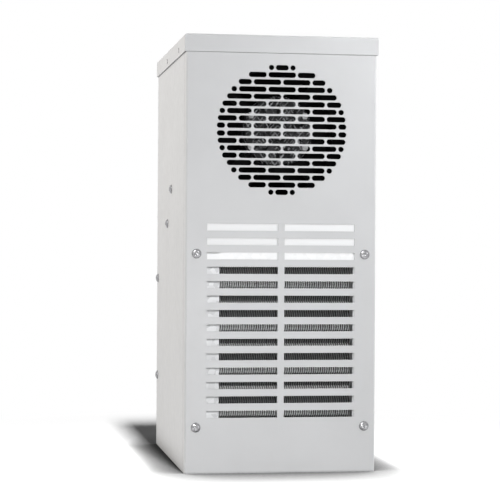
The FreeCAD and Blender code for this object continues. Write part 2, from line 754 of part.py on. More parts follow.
def make_partition():
    wall = body("partition")
    side_view = drawing(wall, "YZ_Plane", "partition_side")
    wall_profile(side_view, "0", "inner_sheet", "sheet", WALL_TOP)
    pad(wall, side_view, f"2 * {INSIDE}", both_ways=True)
    for name, start in (("left", f"-{INSIDE}"), ("right", f"{INSIDE} - inner_sheet")):
        flange = drawing(wall, "YZ_Plane", f"partition_{name}_flange", start)
        wall_profile(flange, "0", "wall_flange", "base_flange + fit", WALL_TOP)
        pad(wall, flange, "inner_sheet")
    notches = drawing(wall, "XZ_Plane", "partition_notches")
    foot = f"({WITHIN_LIP} - sheet - fit)"
    for low, high in ((f"-{SIDE}", f"-{foot}"), (foot, SIDE)):
        rectangle(notches, (low, high), ("0", "base_flange + fit"))
    punch(wall, notches)
    punch_lines(wall, "partition_holes")
    node(wall, "partition")

    lining = body("partition_insulation")
    side_view = drawing(lining, "YZ_Plane", "insulation_side")
    wall_profile(side_view, "inner_sheet", "foam", "base_flange + fit", WALL_TOP)
    pad(lining, side_view, f"2 * ({SIDE} - screw_length - fit)", both_ways=True)
    punch_lines(lining, "insulation_holes")
    node(lining, "partition_insulation")


# Fan shroud: flange behind the upper louvres, shelf, and plate with the fan's collar
def make_shroud():
    shroud = body("condenser_fan_shroud")
    side_view = drawing(shroud, "YZ_Plane", "shroud_side")
    front, plate = f"{FRONT} + sheet", f"{FRONT} + shroud_depth"
    low, shelf = f"{OVER_CHANNEL} + fit", "shroud_shelf"
    outline(side_view, [
        (front, low), (front, f"{shelf} + inner_sheet"), (plate, f"{shelf} + inner_sheet"), (plate, WALL_TOP),
        (f"{plate} + inner_sheet", WALL_TOP), (f"{plate} + inner_sheet", shelf),
        (f"{front} + inner_sheet", shelf), (f"{front} + inner_sheet", low),
    ])
    pad(shroud, side_view, f"2 * {WITHIN_LIP}", both_ways=True)
    collar = drawing(shroud, "XZ_Plane", "shroud_collar", f"-({plate})")
    circle(collar, "0", "grille_z", "orifice_radius + inner_sheet")
    pad(shroud, collar, "orifice_depth", backwards=True)
    hole = drawing(shroud, "XZ_Plane", "shroud_hole", f"-({plate} - fit)")
    circle(hole, "0", "grille_z", "orifice_radius")
    pocket(shroud, hole, "orifice_depth + 2 * fit")
    node(shroud, "condenser_fan_shroud")


# Coils: fins on a serpentine tube between two end plates
def make_fins(name, left, length, y, z, step):
    """Upright fins, side by side; they are pressed on the tubes."""
    fins = body(name)
    fin = drawing(fins, "YZ_Plane", f"{name}_one", left)
    rectangle(fin, y, z)
    one = pad(fins, fin, "fin_sheet")
    repeat_along(fins, one, "X_Axis", step, f"floor(({length}) / {step}) + 1")
    node(fins, name)


def run(start, stop):
    return Part.LineSegment(start, stop).toShape()


def pipe(name, edges, radius):
    """A round line along straight runs and arcs."""
    path = Part.Wire(edges)
    start = edges[0].valueAt(edges[0].FirstParameter)
    ring = Part.Wire(Part.makeCircle(radius, start, edges[0].tangentAt(edges[0].FirstParameter)))
    line = doc.addObject("Part::Feature", name)
    line.Shape = path.makePipe(Part.Face(ring))
    return line


def serpent(left, right, y, low, count):
    """A tube's path to and fro, from the top left end down to the bottom left end."""
    point = FreeCAD.Vector
    radius = size.tube_step / 2
    edges = []
    for i in range(count):
        level = low + (count - 1 - i) * size.tube_step
        near_end, far_end, way = (left, right, 1) if i % 2 == 0 else (right, left, -1)
        edges.append(run(point(near_end, y, level), point(far_end, y, level)))
        if i < count - 1:
            middle = point(far_end + way * radius, y, level - radius)
            below = point(far_end, y, level - size.tube_step)
            edges.append(Part.Arc(point(far_end, y, level), middle, below).toShape())
    return edges


def end_plate(name, side, inner, flange, y_flange, y_end, low, high):
    """An angle plate at one end of a coil; side is + or -."""
    plate = body(name)
    plan = drawing(plate, "XY_Plane", f"{name}_plan", low)
    flip = "" if side == "+" else "-"
    inner_x = f"{flip}({inner})"
    web_x = f"{flip}({inner} + inner_sheet)"
    flange_x = f"{flip}({inner} + {flange})"
    y_near, y_thick = y_flange
    outline(plan, [
        (inner_x, y_near), (flange_x, y_near), (flange_x, y_thick),
        (web_x, y_thick), (web_x, y_end), (inner_x, y_end),
    ])
    pad(plate, plan, f"({high}) - ({low})")
    node(plate, name)


def make_condenser():
    y = (f"{FRONT} + coil_front", f"{FRONT} + coil_front + coil_depth")
    span = "coil_left + coil_right - 4 * fit"
    make_fins("condenser_fins", "-coil_left + fit", span, y, ("coil_low", "coil_high"), "fin_step")
    stub = size.inner_sheet + size.tube_stub
    y_tube = -size.depth / 2 + size.coil_front + size.coil_depth / 2
    hairpin = size.coil_right + size.inner_sheet + size.hairpin_stub
    route = serpent(-size.coil_left - stub, hairpin, y_tube, size.coil_z, round(size.coil_tubes))
    node(pipe("condenser_tube", route, size.tube_radius), "condenser_tube")
    flange = (f"{FRONT} + sheet", f"{FRONT} + sheet + inner_sheet")
    low, high = "coil_low - end_margin", OVER_CHANNEL
    end_plate("condenser_left_end_plate", "-", "coil_left", "end_flange", flange, y[1], low, high)
    right_flange = f"({WITHIN_LIP} - coil_right - fit)"
    end_plate("condenser_right_end_plate", "+", "coil_right", right_flange, flange, y[1], low, high)
    channel = body("condenser_top_channel")
    side_view = drawing(channel, "YZ_Plane", "channel_side", "-coil_left")
    top = "coil_high + inner_sheet"
    outline(side_view, [
        (flange[0], "coil_high - channel_drop"), (flange[0], top), (y[1], top),
        (y[1], "coil_high"), (flange[1], "coil_high"), (flange[1], "coil_high - channel_drop"),
    ])
    pad(channel, side_view, "coil_left + coil_right")
    node(channel, "condenser_top_channel")


def make_evaporator():
    y = (f"{BACK} - sheet - evap_gap - coil_depth", f"{BACK} - sheet - evap_gap")
    z = ("evap_z - 0.5 * tube_step", "evap_high")
    make_fins("evaporator_fins", "-evap_half + fit", "2 * evap_half - 4 * fit", y, z, "evap_fin_step")
    stub = size.inner_sheet + size.tube_stub
    y_tube = size.depth / 2 - size.sheet - size.evap_gap - size.coil_depth / 2
    reach = size.evap_half + stub
    route = serpent(-reach, reach, y_tube, size.evap_z, round(size.evap_tubes))
    node(pipe("evaporator_tube", route, size.tube_radius), "evaporator_tube")
    flange = (f"{BACK} - sheet", f"{BACK} - sheet - inner_sheet")
    low, high = "tray_low + tray_height + fit", f"{z[1]} + end_margin"
    for name, side in (("left", "-"), ("right", "+")):
        end_plate(f"evaporator_{name}_end_plate", side, "evap_half", "evap_flange", flange, y[0], low, high)


# Drain tray under the evaporator, and its tube through the base
def make_drain():
    x = ("-tray_half", "tray_half")
    y = (f"{BACK} - sheet - tray_depth", f"{BACK} - sheet")
    z = ("tray_low", "tray_low + tray_height")
    outside = block("tray_outside", x, y, z)
    inside = block(
        "tray_inside", (f"{x[0]} + inner_sheet", f"{x[1]} - inner_sheet"),
        (f"{y[0]} + inner_sheet", f"{y[1]} - inner_sheet"),
        ("tray_low + inner_sheet", "tray_low + 2 * tray_height"))
    spot = ("drain_x", f"{BACK} - drain_inset")
    bore = rod("tray_bore", "z", (*spot, "0"), "drain_bore", "tray_low + tray_height")
    node(cut("drain_tray", outside, [inside, bore]), "drain_tray")
    tube = rod("drain_outside", "z", (*spot, "fit"), "drain_radius", "tray_low - fit")
    hollow = rod("drain_inside", "z", (*spot, "-tray_low"), "drain_bore", "3 * tray_low")
    node(cut("drain_tube", tube, [hollow]), "drain_tube")


# Condenser fan: motor held by a four-armed bracket across the shroud's hole, blades behind it
def make_condenser_motor():
    stator = body("condenser_motor")
    place(stator, "0", "0", "grille_z")
    half = drawing(stator, "XY_Plane", "motor_half")
    front = f"{FRONT} + motor_depth + bell_length"
    bearing = "shaft_radius + running_gap"
    outline(half, [
        ("0", front), ("motor_radius", front), ("motor_radius", MOTOR_BACK), (bearing, MOTOR_BACK),
        (bearing, f"{MOTOR_BACK} - shaft_grip - fit"), ("0", f"{MOTOR_BACK} - shaft_grip - fit"),
    ])
    turn(stator, half)
    node(stator, "condenser_motor")

    bell = body("condenser_motor_bell")
    place(bell, "0", "0", "grille_z")
    half = drawing(bell, "XY_Plane", "bell_half")
    face, rim = f"{FRONT} + motor_depth", "(motor_radius + bell_rim)"
    outline(half, [
        ("0", f"{face} - boss_height"), ("boss_radius - bell_rim", f"{face} - boss_height"),
        ("boss_radius", f"{face} - boss_height + bell_rim"), ("boss_radius", face),
        (f"{rim} - bell_slope", face), (rim, f"{face} + bell_slope"), (rim, front), ("0", front),
    ])
    turn(bell, half)
    vent = drawing(bell, "XZ_Plane", "bell_vent", f"-({face} - fit)")
    rectangle(vent, ("-vent_width / 2", "vent_width / 2"), ("vent_inner", "vent_outer"))
    repeat_round(bell, [pocket(bell, vent, "vent_depth + fit")], "Y_Axis", "vent_count")
    node(bell, "condenser_motor_bell")

    nuts = []
    for i, (across, up) in enumerate(((1, 1), (-1, 1), (-1, -1), (1, -1))):
        nut = doc.addObject("Part::Prism", f"tie_nut_{i}")
        nut.Polygon = 6
        nut.Placement.Rotation = TURNS["y"]
        bind(nut, "Circumradius", "tie_nut")
        bind(nut, "Height", "tie_nut_height")
        place(nut, f"{across} * tie_radius * cos(tie_angle)", f"{face} - tie_nut_height",
              f"grille_z + {up} * tie_radius * sin(tie_angle)")
        nuts.append(nut)
    node(group("condenser_motor_nuts", nuts), "condenser_motor_nuts")

    bracket = body("condenser_motor_bracket")
    bracket.Placement.Rotation = FreeCAD.Rotation(FreeCAD.Vector(0, 1, 0), size.arm_angle)
    place(bracket, "0", MOTOR_BACK, "grille_z")
    disc = drawing(bracket, "XZ_Plane", "bracket_disc")
    circle(disc, "0", "0", "motor_radius - bell_rim")
    pad(bracket, disc, "arm_sheet", backwards=True)
    reach, half_arm = ("-arm_reach", "arm_reach"), ("-arm_width / 2", "arm_width / 2")
    for name, x, z in (("level", reach, half_arm), ("upright", half_arm, reach)):
        arm = drawing(bracket, "XZ_Plane", f"bracket_{name}_arm")
        rectangle(arm, x, z)
        pad(bracket, arm, "arm_sheet", backwards=True)
    hole = drawing(bracket, "XZ_Plane", "bracket_hole")
    circle(hole, "0", "0", "arm_hole")
    punch(bracket, hole)
    node(bracket, "condenser_motor_bracket")


def blade_section(sketch):
    """A curved plate seen from its tip, pitched about the middle of its chord."""
    pitch = math.radians(size.blade_pitch)
    along = FreeCAD.Vector(math.cos(pitch), math.sin(pitch), 0)
    out = FreeCAD.Vector(-math.sin(pitch), math.cos(pitch), 0)
    half = along * (size.blade_chord / 2)
    thick = out * size.blade_sheet
    crown = out * size.blade_camber
    sketch.addGeometry(Part.Arc(-half, crown, half), False)
    sketch.addGeometry(Part.LineSegment(half, half + thick), False)
    sketch.addGeometry(Part.Arc(half + thick, crown + thick, thick - half), False)
    sketch.addGeometry(Part.LineSegment(thick - half, -half), False)


def make_condenser_fan():
    fan = body("condenser_fan")
    place(fan, "0", FAN_Y, "grille_z")
    hub = drawing(fan, "XZ_Plane", "fan_hub")
    circle(hub, "0", "0", "hub_radius")
    pad(fan, hub, "hub_length", both_ways=True)
    section = drawing(fan, "XY_Plane", "fan_blade", "hub_radius - 2 * blade_sheet")
    blade_section(section)
    blade = pad(fan, section, "blade_radius - hub_radius + 4 * blade_sheet")
    repeat_round(fan, [blade], "Y_Axis", "blade_count")
    trim = drawing(fan, "XY_Plane", "fan_trim")
    rectangle(trim, ("blade_radius", "2 * blade_radius"), ("-blade_chord", "blade_chord"))
    turn(fan, trim, "Groove")
    bore = drawing(fan, "XZ_Plane", "fan_bore")
    circle(bore, "0", "0", "shaft_radius")
    punch(fan, bore)
    node(fan, "condenser_fan")
    start = f"{MOTOR_BACK} - shaft_grip"
    length = f"{FAN_Y} + hub_length / 2 - ({start})"
    shaft = rod("condenser_fan_shaft", "y", ("0", start, "grille_z"), "shaft_radius", length)
    node(shaft, "condenser_fan_shaft")


# Evaporator fan: a backward-curved impeller at the inlet, its motor on a stand
IMPELLER_Y = f"({BACK} - sheet - inlet_length + impeller_overlap - impeller_width)"
EVAP_MOTOR_END = f"({IMPELLER_Y} - evap_motor_gap)"
STAND_Y = f"({EVAP_MOTOR_END} - evap_motor_length - arm_sheet)"


def impeller_blade(sketch):
    """A curved plate from the eye to the rim, trailing as the impeller turns."""
    eye = size.inlet_radius + size.inner_sheet + size.impeller_gap + size.impeller_disc
    inner = FreeCAD.Vector(eye, 0, 0)
    sweep = math.radians(size.impeller_sweep)
    outer = FreeCAD.Vector(math.cos(sweep), math.sin(sweep), 0) * (size.impeller_radius - size.impeller_disc)
    chord = outer - inner
    side = FreeCAD.Vector(chord.y, -chord.x, 0).normalize()
    middle = inner + chord * 0.5 + side * size.impeller_camber
    thick = side * size.impeller_disc
    sketch.addGeometry(Part.Arc(inner, middle, outer), False)
    sketch.addGeometry(Part.LineSegment(outer, outer - thick), False)
    sketch.addGeometry(Part.Arc(outer - thick, middle - thick, inner - thick), False)
    sketch.addGeometry(Part.LineSegment(inner - thick, inner), False)


def make_evaporator_fan():
    ring = body("evaporator_inlet_ring")
    place(ring, "0", "0", "inlet_z")
    half = drawing(ring, "XY_Plane", "ring_half")
    face = f"{BACK} - sheet"
    wall = "inlet_radius + inner_sheet"
    outline(half, [
        ("inlet_radius", face), ("inlet_radius + inlet_flange", face),
        ("inlet_radius + inlet_flange", f"{face} - inner_sheet"), (wall, f"{face} - inner_sheet"),
        (wall, f"{face} - inlet_length"), ("inlet_radius", f"{face} - inlet_length"),
    ])
    turn(ring, half)
    node(ring, "evaporator_inlet_ring")

    wheel = body("evaporator_impeller")
    place(wheel, "0", IMPELLER_Y, "inlet_z")
    disc = drawing(wheel, "XZ_Plane", "impeller_back_disc")
    circle(disc, "0", "0", "impeller_radius")
    pad(wheel, disc, "impeller_disc", backwards=True)
    blade = drawing(wheel, "XZ_Plane", "impeller_blade")
    impeller_blade(blade)
    one = pad(wheel, blade, "impeller_width - fit", backwards=True)
    repeat_round(wheel, [one], "Y_Axis", "impeller_blades")
    rim = drawing(wheel, "XZ_Plane", "impeller_front_disc", "-(impeller_width - impeller_disc)")
    circle(rim, "0", "0", "impeller_radius")
    circle(rim, "0", "0", "inlet_radius + inner_sheet + impeller_gap")
    pad(wheel, rim, "impeller_disc", backwards=True)
    hub = drawing(wheel, "XZ_Plane", "impeller_hub")
    circle(hub, "0", "0", "impeller_hub")
    pad(wheel, hub, "impeller_hub_length", backwards=True)
    bore = drawing(wheel, "XZ_Plane", "impeller_bore")
    circle(bore, "0", "0", "shaft_radius")
    punch(wheel, bore)
    node(wheel, "evaporator_impeller")

    start = f"{EVAP_MOTOR_END} - shaft_grip"
    length = "shaft_grip + evap_motor_gap + impeller_hub_length"
    shaft = rod("evaporator_fan_shaft", "y", ("0", start, "inlet_z"), "shaft_radius", length)
    node(shaft, "evaporator_fan_shaft")

    motor = body("evaporator_motor")
    place(motor, "0", "0", "inlet_z")
    half = drawing(motor, "XY_Plane", "evaporator_motor_half")
    foot = f"{STAND_Y} + arm_sheet"
    shoulder = "evap_motor_radius - bell_slope"
    bearing = "shaft_radius + running_gap"
    outline(half, [
        ("0", foot), ("evap_motor_radius", foot),
        ("evap_motor_radius", f"{EVAP_MOTOR_END} - bell_slope"), (shoulder, EVAP_MOTOR_END),
        (bearing, EVAP_MOTOR_END), (bearing, f"{start} - fit"), ("0", f"{start} - fit"),
    ])
    turn(motor, half)
    node(motor, "evaporator_motor")

    plate = block(
        "stand_plate", ("-stand_half", "stand_half"), (STAND_Y, f"{STAND_Y} + arm_sheet"),
        ("inlet_z - stand_half", "inlet_z + stand_half"))
    posts = []
    for across in (1, -1):
        for up in (1, -1):
            spot = (f"{across} * post_place", foot, f"inlet_z + {up} * post_place")
            posts.append(rod(f"post_{len(posts)}", "y", spot, "post_radius", f"{face} - ({foot})"))
    node(plate, "evaporator_motor_plate")
    node(group("evaporator_motor_posts", posts), "evaporator_motor_posts")

    bars = [
        block("guard_level", ("-guard_radius", "guard_radius"), (BACK, f"{BACK} + guard_sheet"),
              ("inlet_z - guard_bar / 2", "inlet_z + guard_bar / 2")),
        block("guard_upright", ("-guard_bar / 2", "guard_bar / 2"), (BACK, f"{BACK} + guard_sheet"),
              ("inlet_z - guard_radius", "inlet_z + guard_radius")),
    ]
    for i in range(1, round(size.guard_rings) + 1):
        outer = f"guard_radius * {i} / guard_rings"
        disc = rod(f"guard_disc_{i}", "y", ("0", BACK, "inlet_z"), outer, "guard_sheet")
        before = ("0", f"{BACK} - guard_sheet", "inlet_z")
        hole = rod(f"guard_hole_{i}", "y", before, f"{outer} - guard_bar", "3 * guard_sheet")
        bars.append(cut(f"guard_ring_{i}", disc, [hole]))
    node(fuse("inlet_guard", bars), "inlet_guard")


# Compressor on rubber feet
CAN_Y = f"({FRONT} + can_depth)"
CAN_Z = "(sheet + grommet_height + foot_sheet)"


def make_compressor():
    can = body("compressor")
    place(can, "can_x", CAN_Y, CAN_Z)
    round_plan = drawing(can, "XY_Plane", "can_plan")
    circle(round_plan, "0", "0", "can_radius")
    tall = pad(can, round_plan, "can_height")
    round_edges(can, tall, "can_dome", lambda e: near(e.BoundBox.ZLength, 0) and e.CenterOfMass.z > 0)
    rib = drawing(can, "XY_Plane", "can_weld", "can_rib_z")
    circle(rib, "0", "0", "can_radius + can_rib")
    pad(can, rib, "can_rib_height")
    node(can, "compressor")

    x = ("can_x - foot_half", "can_x + foot_half")
    y = (f"{CAN_Y} - foot_half", f"{CAN_Y} + foot_half")
    top = "sheet + grommet_height"
    plate = block("foot_solid", x, y, (top, CAN_Z))
    holes, feet, bolts = [], [], []
    for across in (1, -1):
        for back in (1, -1):
            i = len(feet)
            spot = (f"can_x + {across} * foot_bolt", f"{CAN_Y} + {back} * foot_bolt")
            hole = rod(f"foot_hole_{i}", "z", (*spot, "0"), "stud_radius + fit", f"2 * {CAN_Z}")
            holes.append(hole)
            rubber = rod(f"rubber_{i}", "z", (*spot, "sheet"), "grommet_radius", "grommet_height")
            hole = rod(f"rubber_hole_{i}", "z", (*spot, "0"), "stud_radius + fit", "2 * grommet_height")
            feet.append(cut(f"foot_{i}", rubber, [hole]))
            stud_length = f"{CAN_Z} - sheet + stud_nut_height"
            stud = rod(f"stud_{i}", "z", (*spot, "sheet"), "stud_radius", stud_length)
            nut = doc.addObject("Part::Prism", f"stud_nut_{i}")
            nut.Polygon = 6
            bind(nut, "Circumradius", "stud_nut")
            bind(nut, "Height", "stud_nut_height")
            place(nut, *spot, CAN_Z)
            bolts.append(fuse(f"bolt_{i}", [stud, nut]))
    node(cut("compressor_foot_plate", plate, holes), "compressor_foot_plate")
    node(group("compressor_grommets", feet), "compressor_grommets")
    node(group("compressor_bolts", bolts), "compressor_bolts")

    cover_y = (f"{CAN_Y} - can_radius", f"{CAN_Y} - can_radius - cover_depth")
    shell = block("cover_solid", ("can_x - cover_width / 2", "can_x + cover_width / 2"),
                  (cover_y[1], CAN_Y), ("cover_z", "cover_z + cover_height"))
    room = rod("cover_room", "z", ("can_x", CAN_Y, "0"), "can_radius + can_rib + fit",
               "2 * (cover_z + cover_height)")
    node(cut("compressor_terminal_cover", shell, [room]), "compressor_terminal_cover")


# Refrigerant lines
def rounded(corners, radius):
    """A path of straight runs whose corners are arcs of one radius."""
    edges = []
    last = corners[0]
    for before, corner, after in zip(corners, corners[1:], corners[2:]):
        arrive = (corner - before).normalize()
        leave = (after - corner).normalize()
        half_turn = arrive.getAngle(leave) / 2
        start = corner - arrive * (radius * math.tan(half_turn))
        stop = corner + leave * (radius * math.tan(half_turn))
        inward = (leave - arrive).normalize()
        middle = corner + inward * (radius / math.cos(half_turn) - radius)
        edges.append(run(last, start))
        edges.append(Part.Arc(start, middle, stop).toShape())
        last = stop
    return edges + [run(last, corners[-1])]


def make_lines():
    front, back = -size.depth / 2, size.depth / 2
    y_cond = front + size.coil_front + size.coil_depth / 2
    y_evap = back - size.sheet - size.evap_gap - size.coil_depth / 2
    y_can = front + size.can_depth
    x_cond = -size.coil_left - size.inner_sheet - size.tube_stub
    x_evap = -size.evap_half - size.inner_sheet - size.tube_stub
    high = size.coil_z + (size.coil_tubes - 1) * size.tube_step
    suction = size.evap_z + (size.evap_tubes - 1) * size.tube_step
    can_top = size.sheet + size.grommet_height + size.foot_sheet + size.can_height
    inset = size.port_offset
    point = FreeCAD.Vector

    def line(name, corners, radius, bend):
        node(pipe(name, rounded(corners, bend), radius), name)

    x_out, y_out = size.can_x + inset, y_can - inset
    line("discharge_line", [
        point(x_cond, y_cond, high), point(-size.line_x, y_cond, high), point(-size.line_x, y_out, high),
        point(x_out, y_out, high), point(x_out, y_out, can_top - size.line_dip),
    ], size.discharge_radius, size.line_bend)
    x_in, y_in = size.can_x - inset, y_can + inset
    line("suction_line", [
        point(x_evap, y_evap, suction), point(-size.line_x, y_evap, suction),
        point(-size.line_x, y_in, suction), point(x_in, y_in, suction),
        point(x_in, y_in, can_top - size.line_dip),
    ], size.suction_radius, size.line_bend)

    x_cap, y_drier = -size.capillary_x, front + size.drier_depth
    line("liquid_line", [
        point(x_cond, y_cond, size.coil_z), point(x_cap, y_cond, size.coil_z),
        point(x_cap, y_drier, size.coil_z), point(x_cap, y_drier, size.drier_low),
    ], size.liquid_radius, size.small_bend)
    y_turn = y_evap - size.capillary_run
    line("capillary_tube", [
        point(x_cap, y_drier, size.drier_low + size.drier_length), point(x_cap, y_drier, size.capillary_z),
        point(x_cap, y_turn, size.capillary_z), point(x_cap, y_turn, size.evap_z),
        point(-size.line_x, y_evap, size.evap_z), point(x_evap, y_evap, size.evap_z),
    ], size.capillary_radius, size.small_bend)

    drier = body("filter_drier")
    place(drier, "-capillary_x", f"{FRONT} + drier_depth", "drier_low")
    half = drawing(drier, "XZ_Plane", "drier_half")
    outline(half, [
        ("0", "0"), ("drier_neck", "0"), ("drier_radius", "drier_cone"),
        ("drier_radius", "drier_length - drier_cone"), ("drier_neck", "drier_length"), ("0", "drier_length"),
    ])
    turn(drier, half)
    node(drier, "filter_drier")


# Electrical box beside the compressor
def make_electrics():
    x = ("case_left", f"{INSIDE}")
    y = (f"{FRONT} + case_front", f"{FRONT} + case_front + case_depth")
    z = ("case_low", "case_low + case_height")
    outside = block("case_outside", x, y, z)
    inside = block(
        "case_inside", (f"{x[0]} + inner_sheet", f"{x[1]} - inner_sheet"),
        (f"{y[0]} - case_depth", f"{y[1]} - inner_sheet"),
        (f"{z[0]} + inner_sheet", f"{z[1]} - inner_sheet"))
    node(cut("electrical_box", outside, [inside]), "electrical_box")
    node(block("electrical_box_cover", x, (f"{y[0]} - inner_sheet", y[0]), z), "electrical_box_cover")
    floor = f"{z[0]} + inner_sheet"
    wall = f"{x[1]} - inner_sheet"
    back = f"{y[1]} - inner_sheet"
    spot = (f"{wall} - capacitor_radius - fit", f"{back} - capacitor_radius - fit", floor)
    node(rod("run_capacitor", "z", spot, "capacitor_radius", "capacitor_height"), "run_capacitor")
    relay_low = f"{floor} + capacitor_height + relay_gap"
    relay = block(
        "relay_solid", (f"{wall} - relay_width", wall), (f"{back} - relay_depth", back),
        (relay_low, f"{relay_low} + relay_height"))
    node(relay, "compressor_relay")
    rail_low = f"{floor} + terminal_height"
    strip = block(
        "terminal_solid", (f"{wall} - terminal_width", wall),
        (f"{y[0]} + fit", f"{y[0]} + fit + terminal_depth"), (rail_low, f"{rail_low} + terminal_height"))
    slots = []
    for i in range(round(size.terminal_ways)):
        middle = f"{y[0]} + fit + terminal_depth * {i + 1} / (terminal_ways + 1)"
        slots.append(block(
            f"terminal_slot_{i}",
            (f"{wall} - 2 * terminal_width", f"{wall} - terminal_width + terminal_groove_depth"),
            (f"{middle} - terminal_groove / 2", f"{middle} + terminal_groove / 2"),
            (f"{rail_low} - terminal_height", f"{rail_low} + 2 * terminal_height")))
    node(cut("terminal_block", strip, slots), "terminal_block")


# Cable gland and thermostat on the back panel
def make_back_fittings():
    spot = ("gland_x", "gland_z")
    inner = f"{BACK} - sheet"
    barrel = rod("gland_barrel", "y", (spot[0], f"{inner} - gland_nut_height - gland_reach", spot[1]),
                 "gland_radius", "gland_nut_height + gland_reach + sheet + insert_head_height")
    flange = rod("gland_flange", "y", (spot[0], BACK, spot[1]), "gland_nut", "insert_head_height")
    nut = doc.addObject("Part::Prism", "gland_nut_solid")
    nut.Polygon = 6
    nut.Placement.Rotation = TURNS["y"]
    bind(nut, "Circumradius", "gland_nut")
    bind(nut, "Height", "gland_nut_height")
    place(nut, spot[0], f"{inner} - gland_nut_height", spot[1])
    before = (spot[0], f"{inner} - 4 * gland_reach", spot[1])
    bore = rod("gland_bore_tool", "y", before, "gland_bore", "8 * gland_reach")
    node(cut("cable_gland", fuse("gland_solid", [barrel, flange, nut]), [bore]), "cable_gland")

    half = "thermostat_half"
    case = block(
        "thermostat_solid", (f"dial_x - {half}", f"dial_x + {half}"), (f"{inner} - thermostat_depth", inner),
        (f"dial_z - {half}", f"dial_z + {half}"))
    hole = rod("thermostat_hole", "y", ("dial_x", f"{inner} - dial_shaft_length - fit", "dial_z"),
               "dial_shaft + running_gap", "2 * dial_shaft_length")
    node(cut("thermostat", case, [hole]), "thermostat")
    shaft = rod("dial_shaft_solid", "y", ("dial_x", f"{inner} - dial_shaft_length", "dial_z"), "dial_shaft",
                "dial_shaft_length + sheet + dial_gap + dial_height / 2")
    disc = rod("dial_disc", "y", ("dial_x", f"{BACK} + dial_gap", "dial_z"), "dial_radius", "dial_height")
    groove = block("dial_groove", ("dial_x - dial_mark / 2", "dial_x + dial_mark / 2"),
                   (f"{BACK} + dial_gap + dial_height / 2", f"{BACK} + dial_gap + 2 * dial_height"),
                   ("dial_z + dial_mark_start", "dial_z + 2 * dial_radius"))
    node(cut("thermostat_dial", fuse("dial_solid", [shaft, disc]), [groove]), "thermostat_dial")


# Pan-head screws and lid rivets
def pan_head():
    """A screw along +Z, its head from zero up and its shank below."""
    point = FreeCAD.Vector
    radius, height, edge = size.head_radius, size.head_height, size.head_edge
    corners = [
        point(0, 0, -size.screw_length), point(size.screw_radius, 0, -size.screw_length),
        point(size.screw_radius, 0, 0), point(radius, 0, 0), point(radius, 0, edge),
    ]
    outline_edges = [run(a, b) for a, b in zip(corners, corners[1:])]
    crown = point(0, 0, height)
    centre = point(0, 0, (height ** 2 - edge ** 2 - radius ** 2) / (2 * (height - edge)))
    shoulder = centre + (corners[-1] + crown - centre * 2).normalize() * (crown - centre).Length
    outline_edges.append(Part.Arc(corners[-1], shoulder, crown).toShape())
    outline_edges.append(run(crown, corners[0]))
    return Part.Face(Part.Wire(outline_edges)).revolve(point(), point(0, 0, 1), 360)


def rivet_head():
    return Part.makeCylinder(size.rivet_radius, size.rivet_height)


def fasteners(name, shape, places):
    """Copies of one fastener; each place is a point and the way its head faces."""
    copies = []
    for spot, way in places:
        copy = shape.copy()
        copy.Placement = FreeCAD.Placement(spot, FreeCAD.Rotation(FreeCAD.Vector(0, 0, 1), way))
        copies.append(copy)
    made = doc.addObject("Part::Feature", name)
    made.Shape = Part.makeCompound(copies)
    node(made, name)


def make_fasteners():
    point = FreeCAD.Vector
    front, back = -size.depth / 2, size.depth / 2
    ahead = point(0, -1, 0)
    fasteners("front_screws", pan_head(), [
        (point(x, front, z), ahead)
        for x in (-size.front_screw_x, size.front_screw_x)
        for z in (size.front_screw_low, size.front_screw_high)
    ])
    inset = size.wall_screw_inset
    side_places = (
        (front + size.wall_high + inset, size.fold_high - inset),
        (front + size.wall_low + inset, size.fold_low - inset),
        (back - size.back_screw_inset, size.back_screw_high),
        (back - size.back_screw_inset, size.back_screw_low),
    )
    lid_side = size.width / 2 + size.lid_gap + size.sheet
    lid_level = size.height - size.rivet_drop
    rivet_rows = (size.rivet_front, size.rivet_front + size.rivet_step)
    sides = (point(-1, 0, 0), point(1, 0, 0))
    fasteners("side_screws", pan_head(), [
        (way * (size.width / 2) + point(0, y, z), way) for way in sides for y, z in side_places
    ])
    fasteners("lid_rivets", rivet_head(), [
        (way * lid_side + point(0, front + y, lid_level), way) for way in sides for y in rivet_rows
    ])


make_front_panel()
make_lid()
make_side_panels()
make_base()
make_back()
make_mounting()
make_partition()
make_shroud()
make_condenser()
make_evaporator()
make_drain()
make_condenser_motor()
make_condenser_fan()
make_evaporator_fan()
make_compressor()
make_lines()
make_electrics()
make_back_fittings()
make_fasteners()

doc.recompute()
for thing in doc.Objects:
    if {"Invalid", "Error"} & set(thing.State):
        raise RuntimeError(f"{thing.Label} failed: {thing.State}")
for thing in nodes:
    if thing.Shape.isNull() or not thing.Shape.isValid():
        raise RuntimeError(f"{thing.Label} has no valid shape")

os.makedirs("parts", exist_ok=True)
for thing in nodes:
    thing.Shape.exportStep(f"parts/{thing.Label}.step")
    print(thing.Label, len(thing.Shape.Solids), round(thing.Shape.Volume))
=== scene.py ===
import math
import random

import bmesh
import bpy
from mathutils import Matrix, Vector


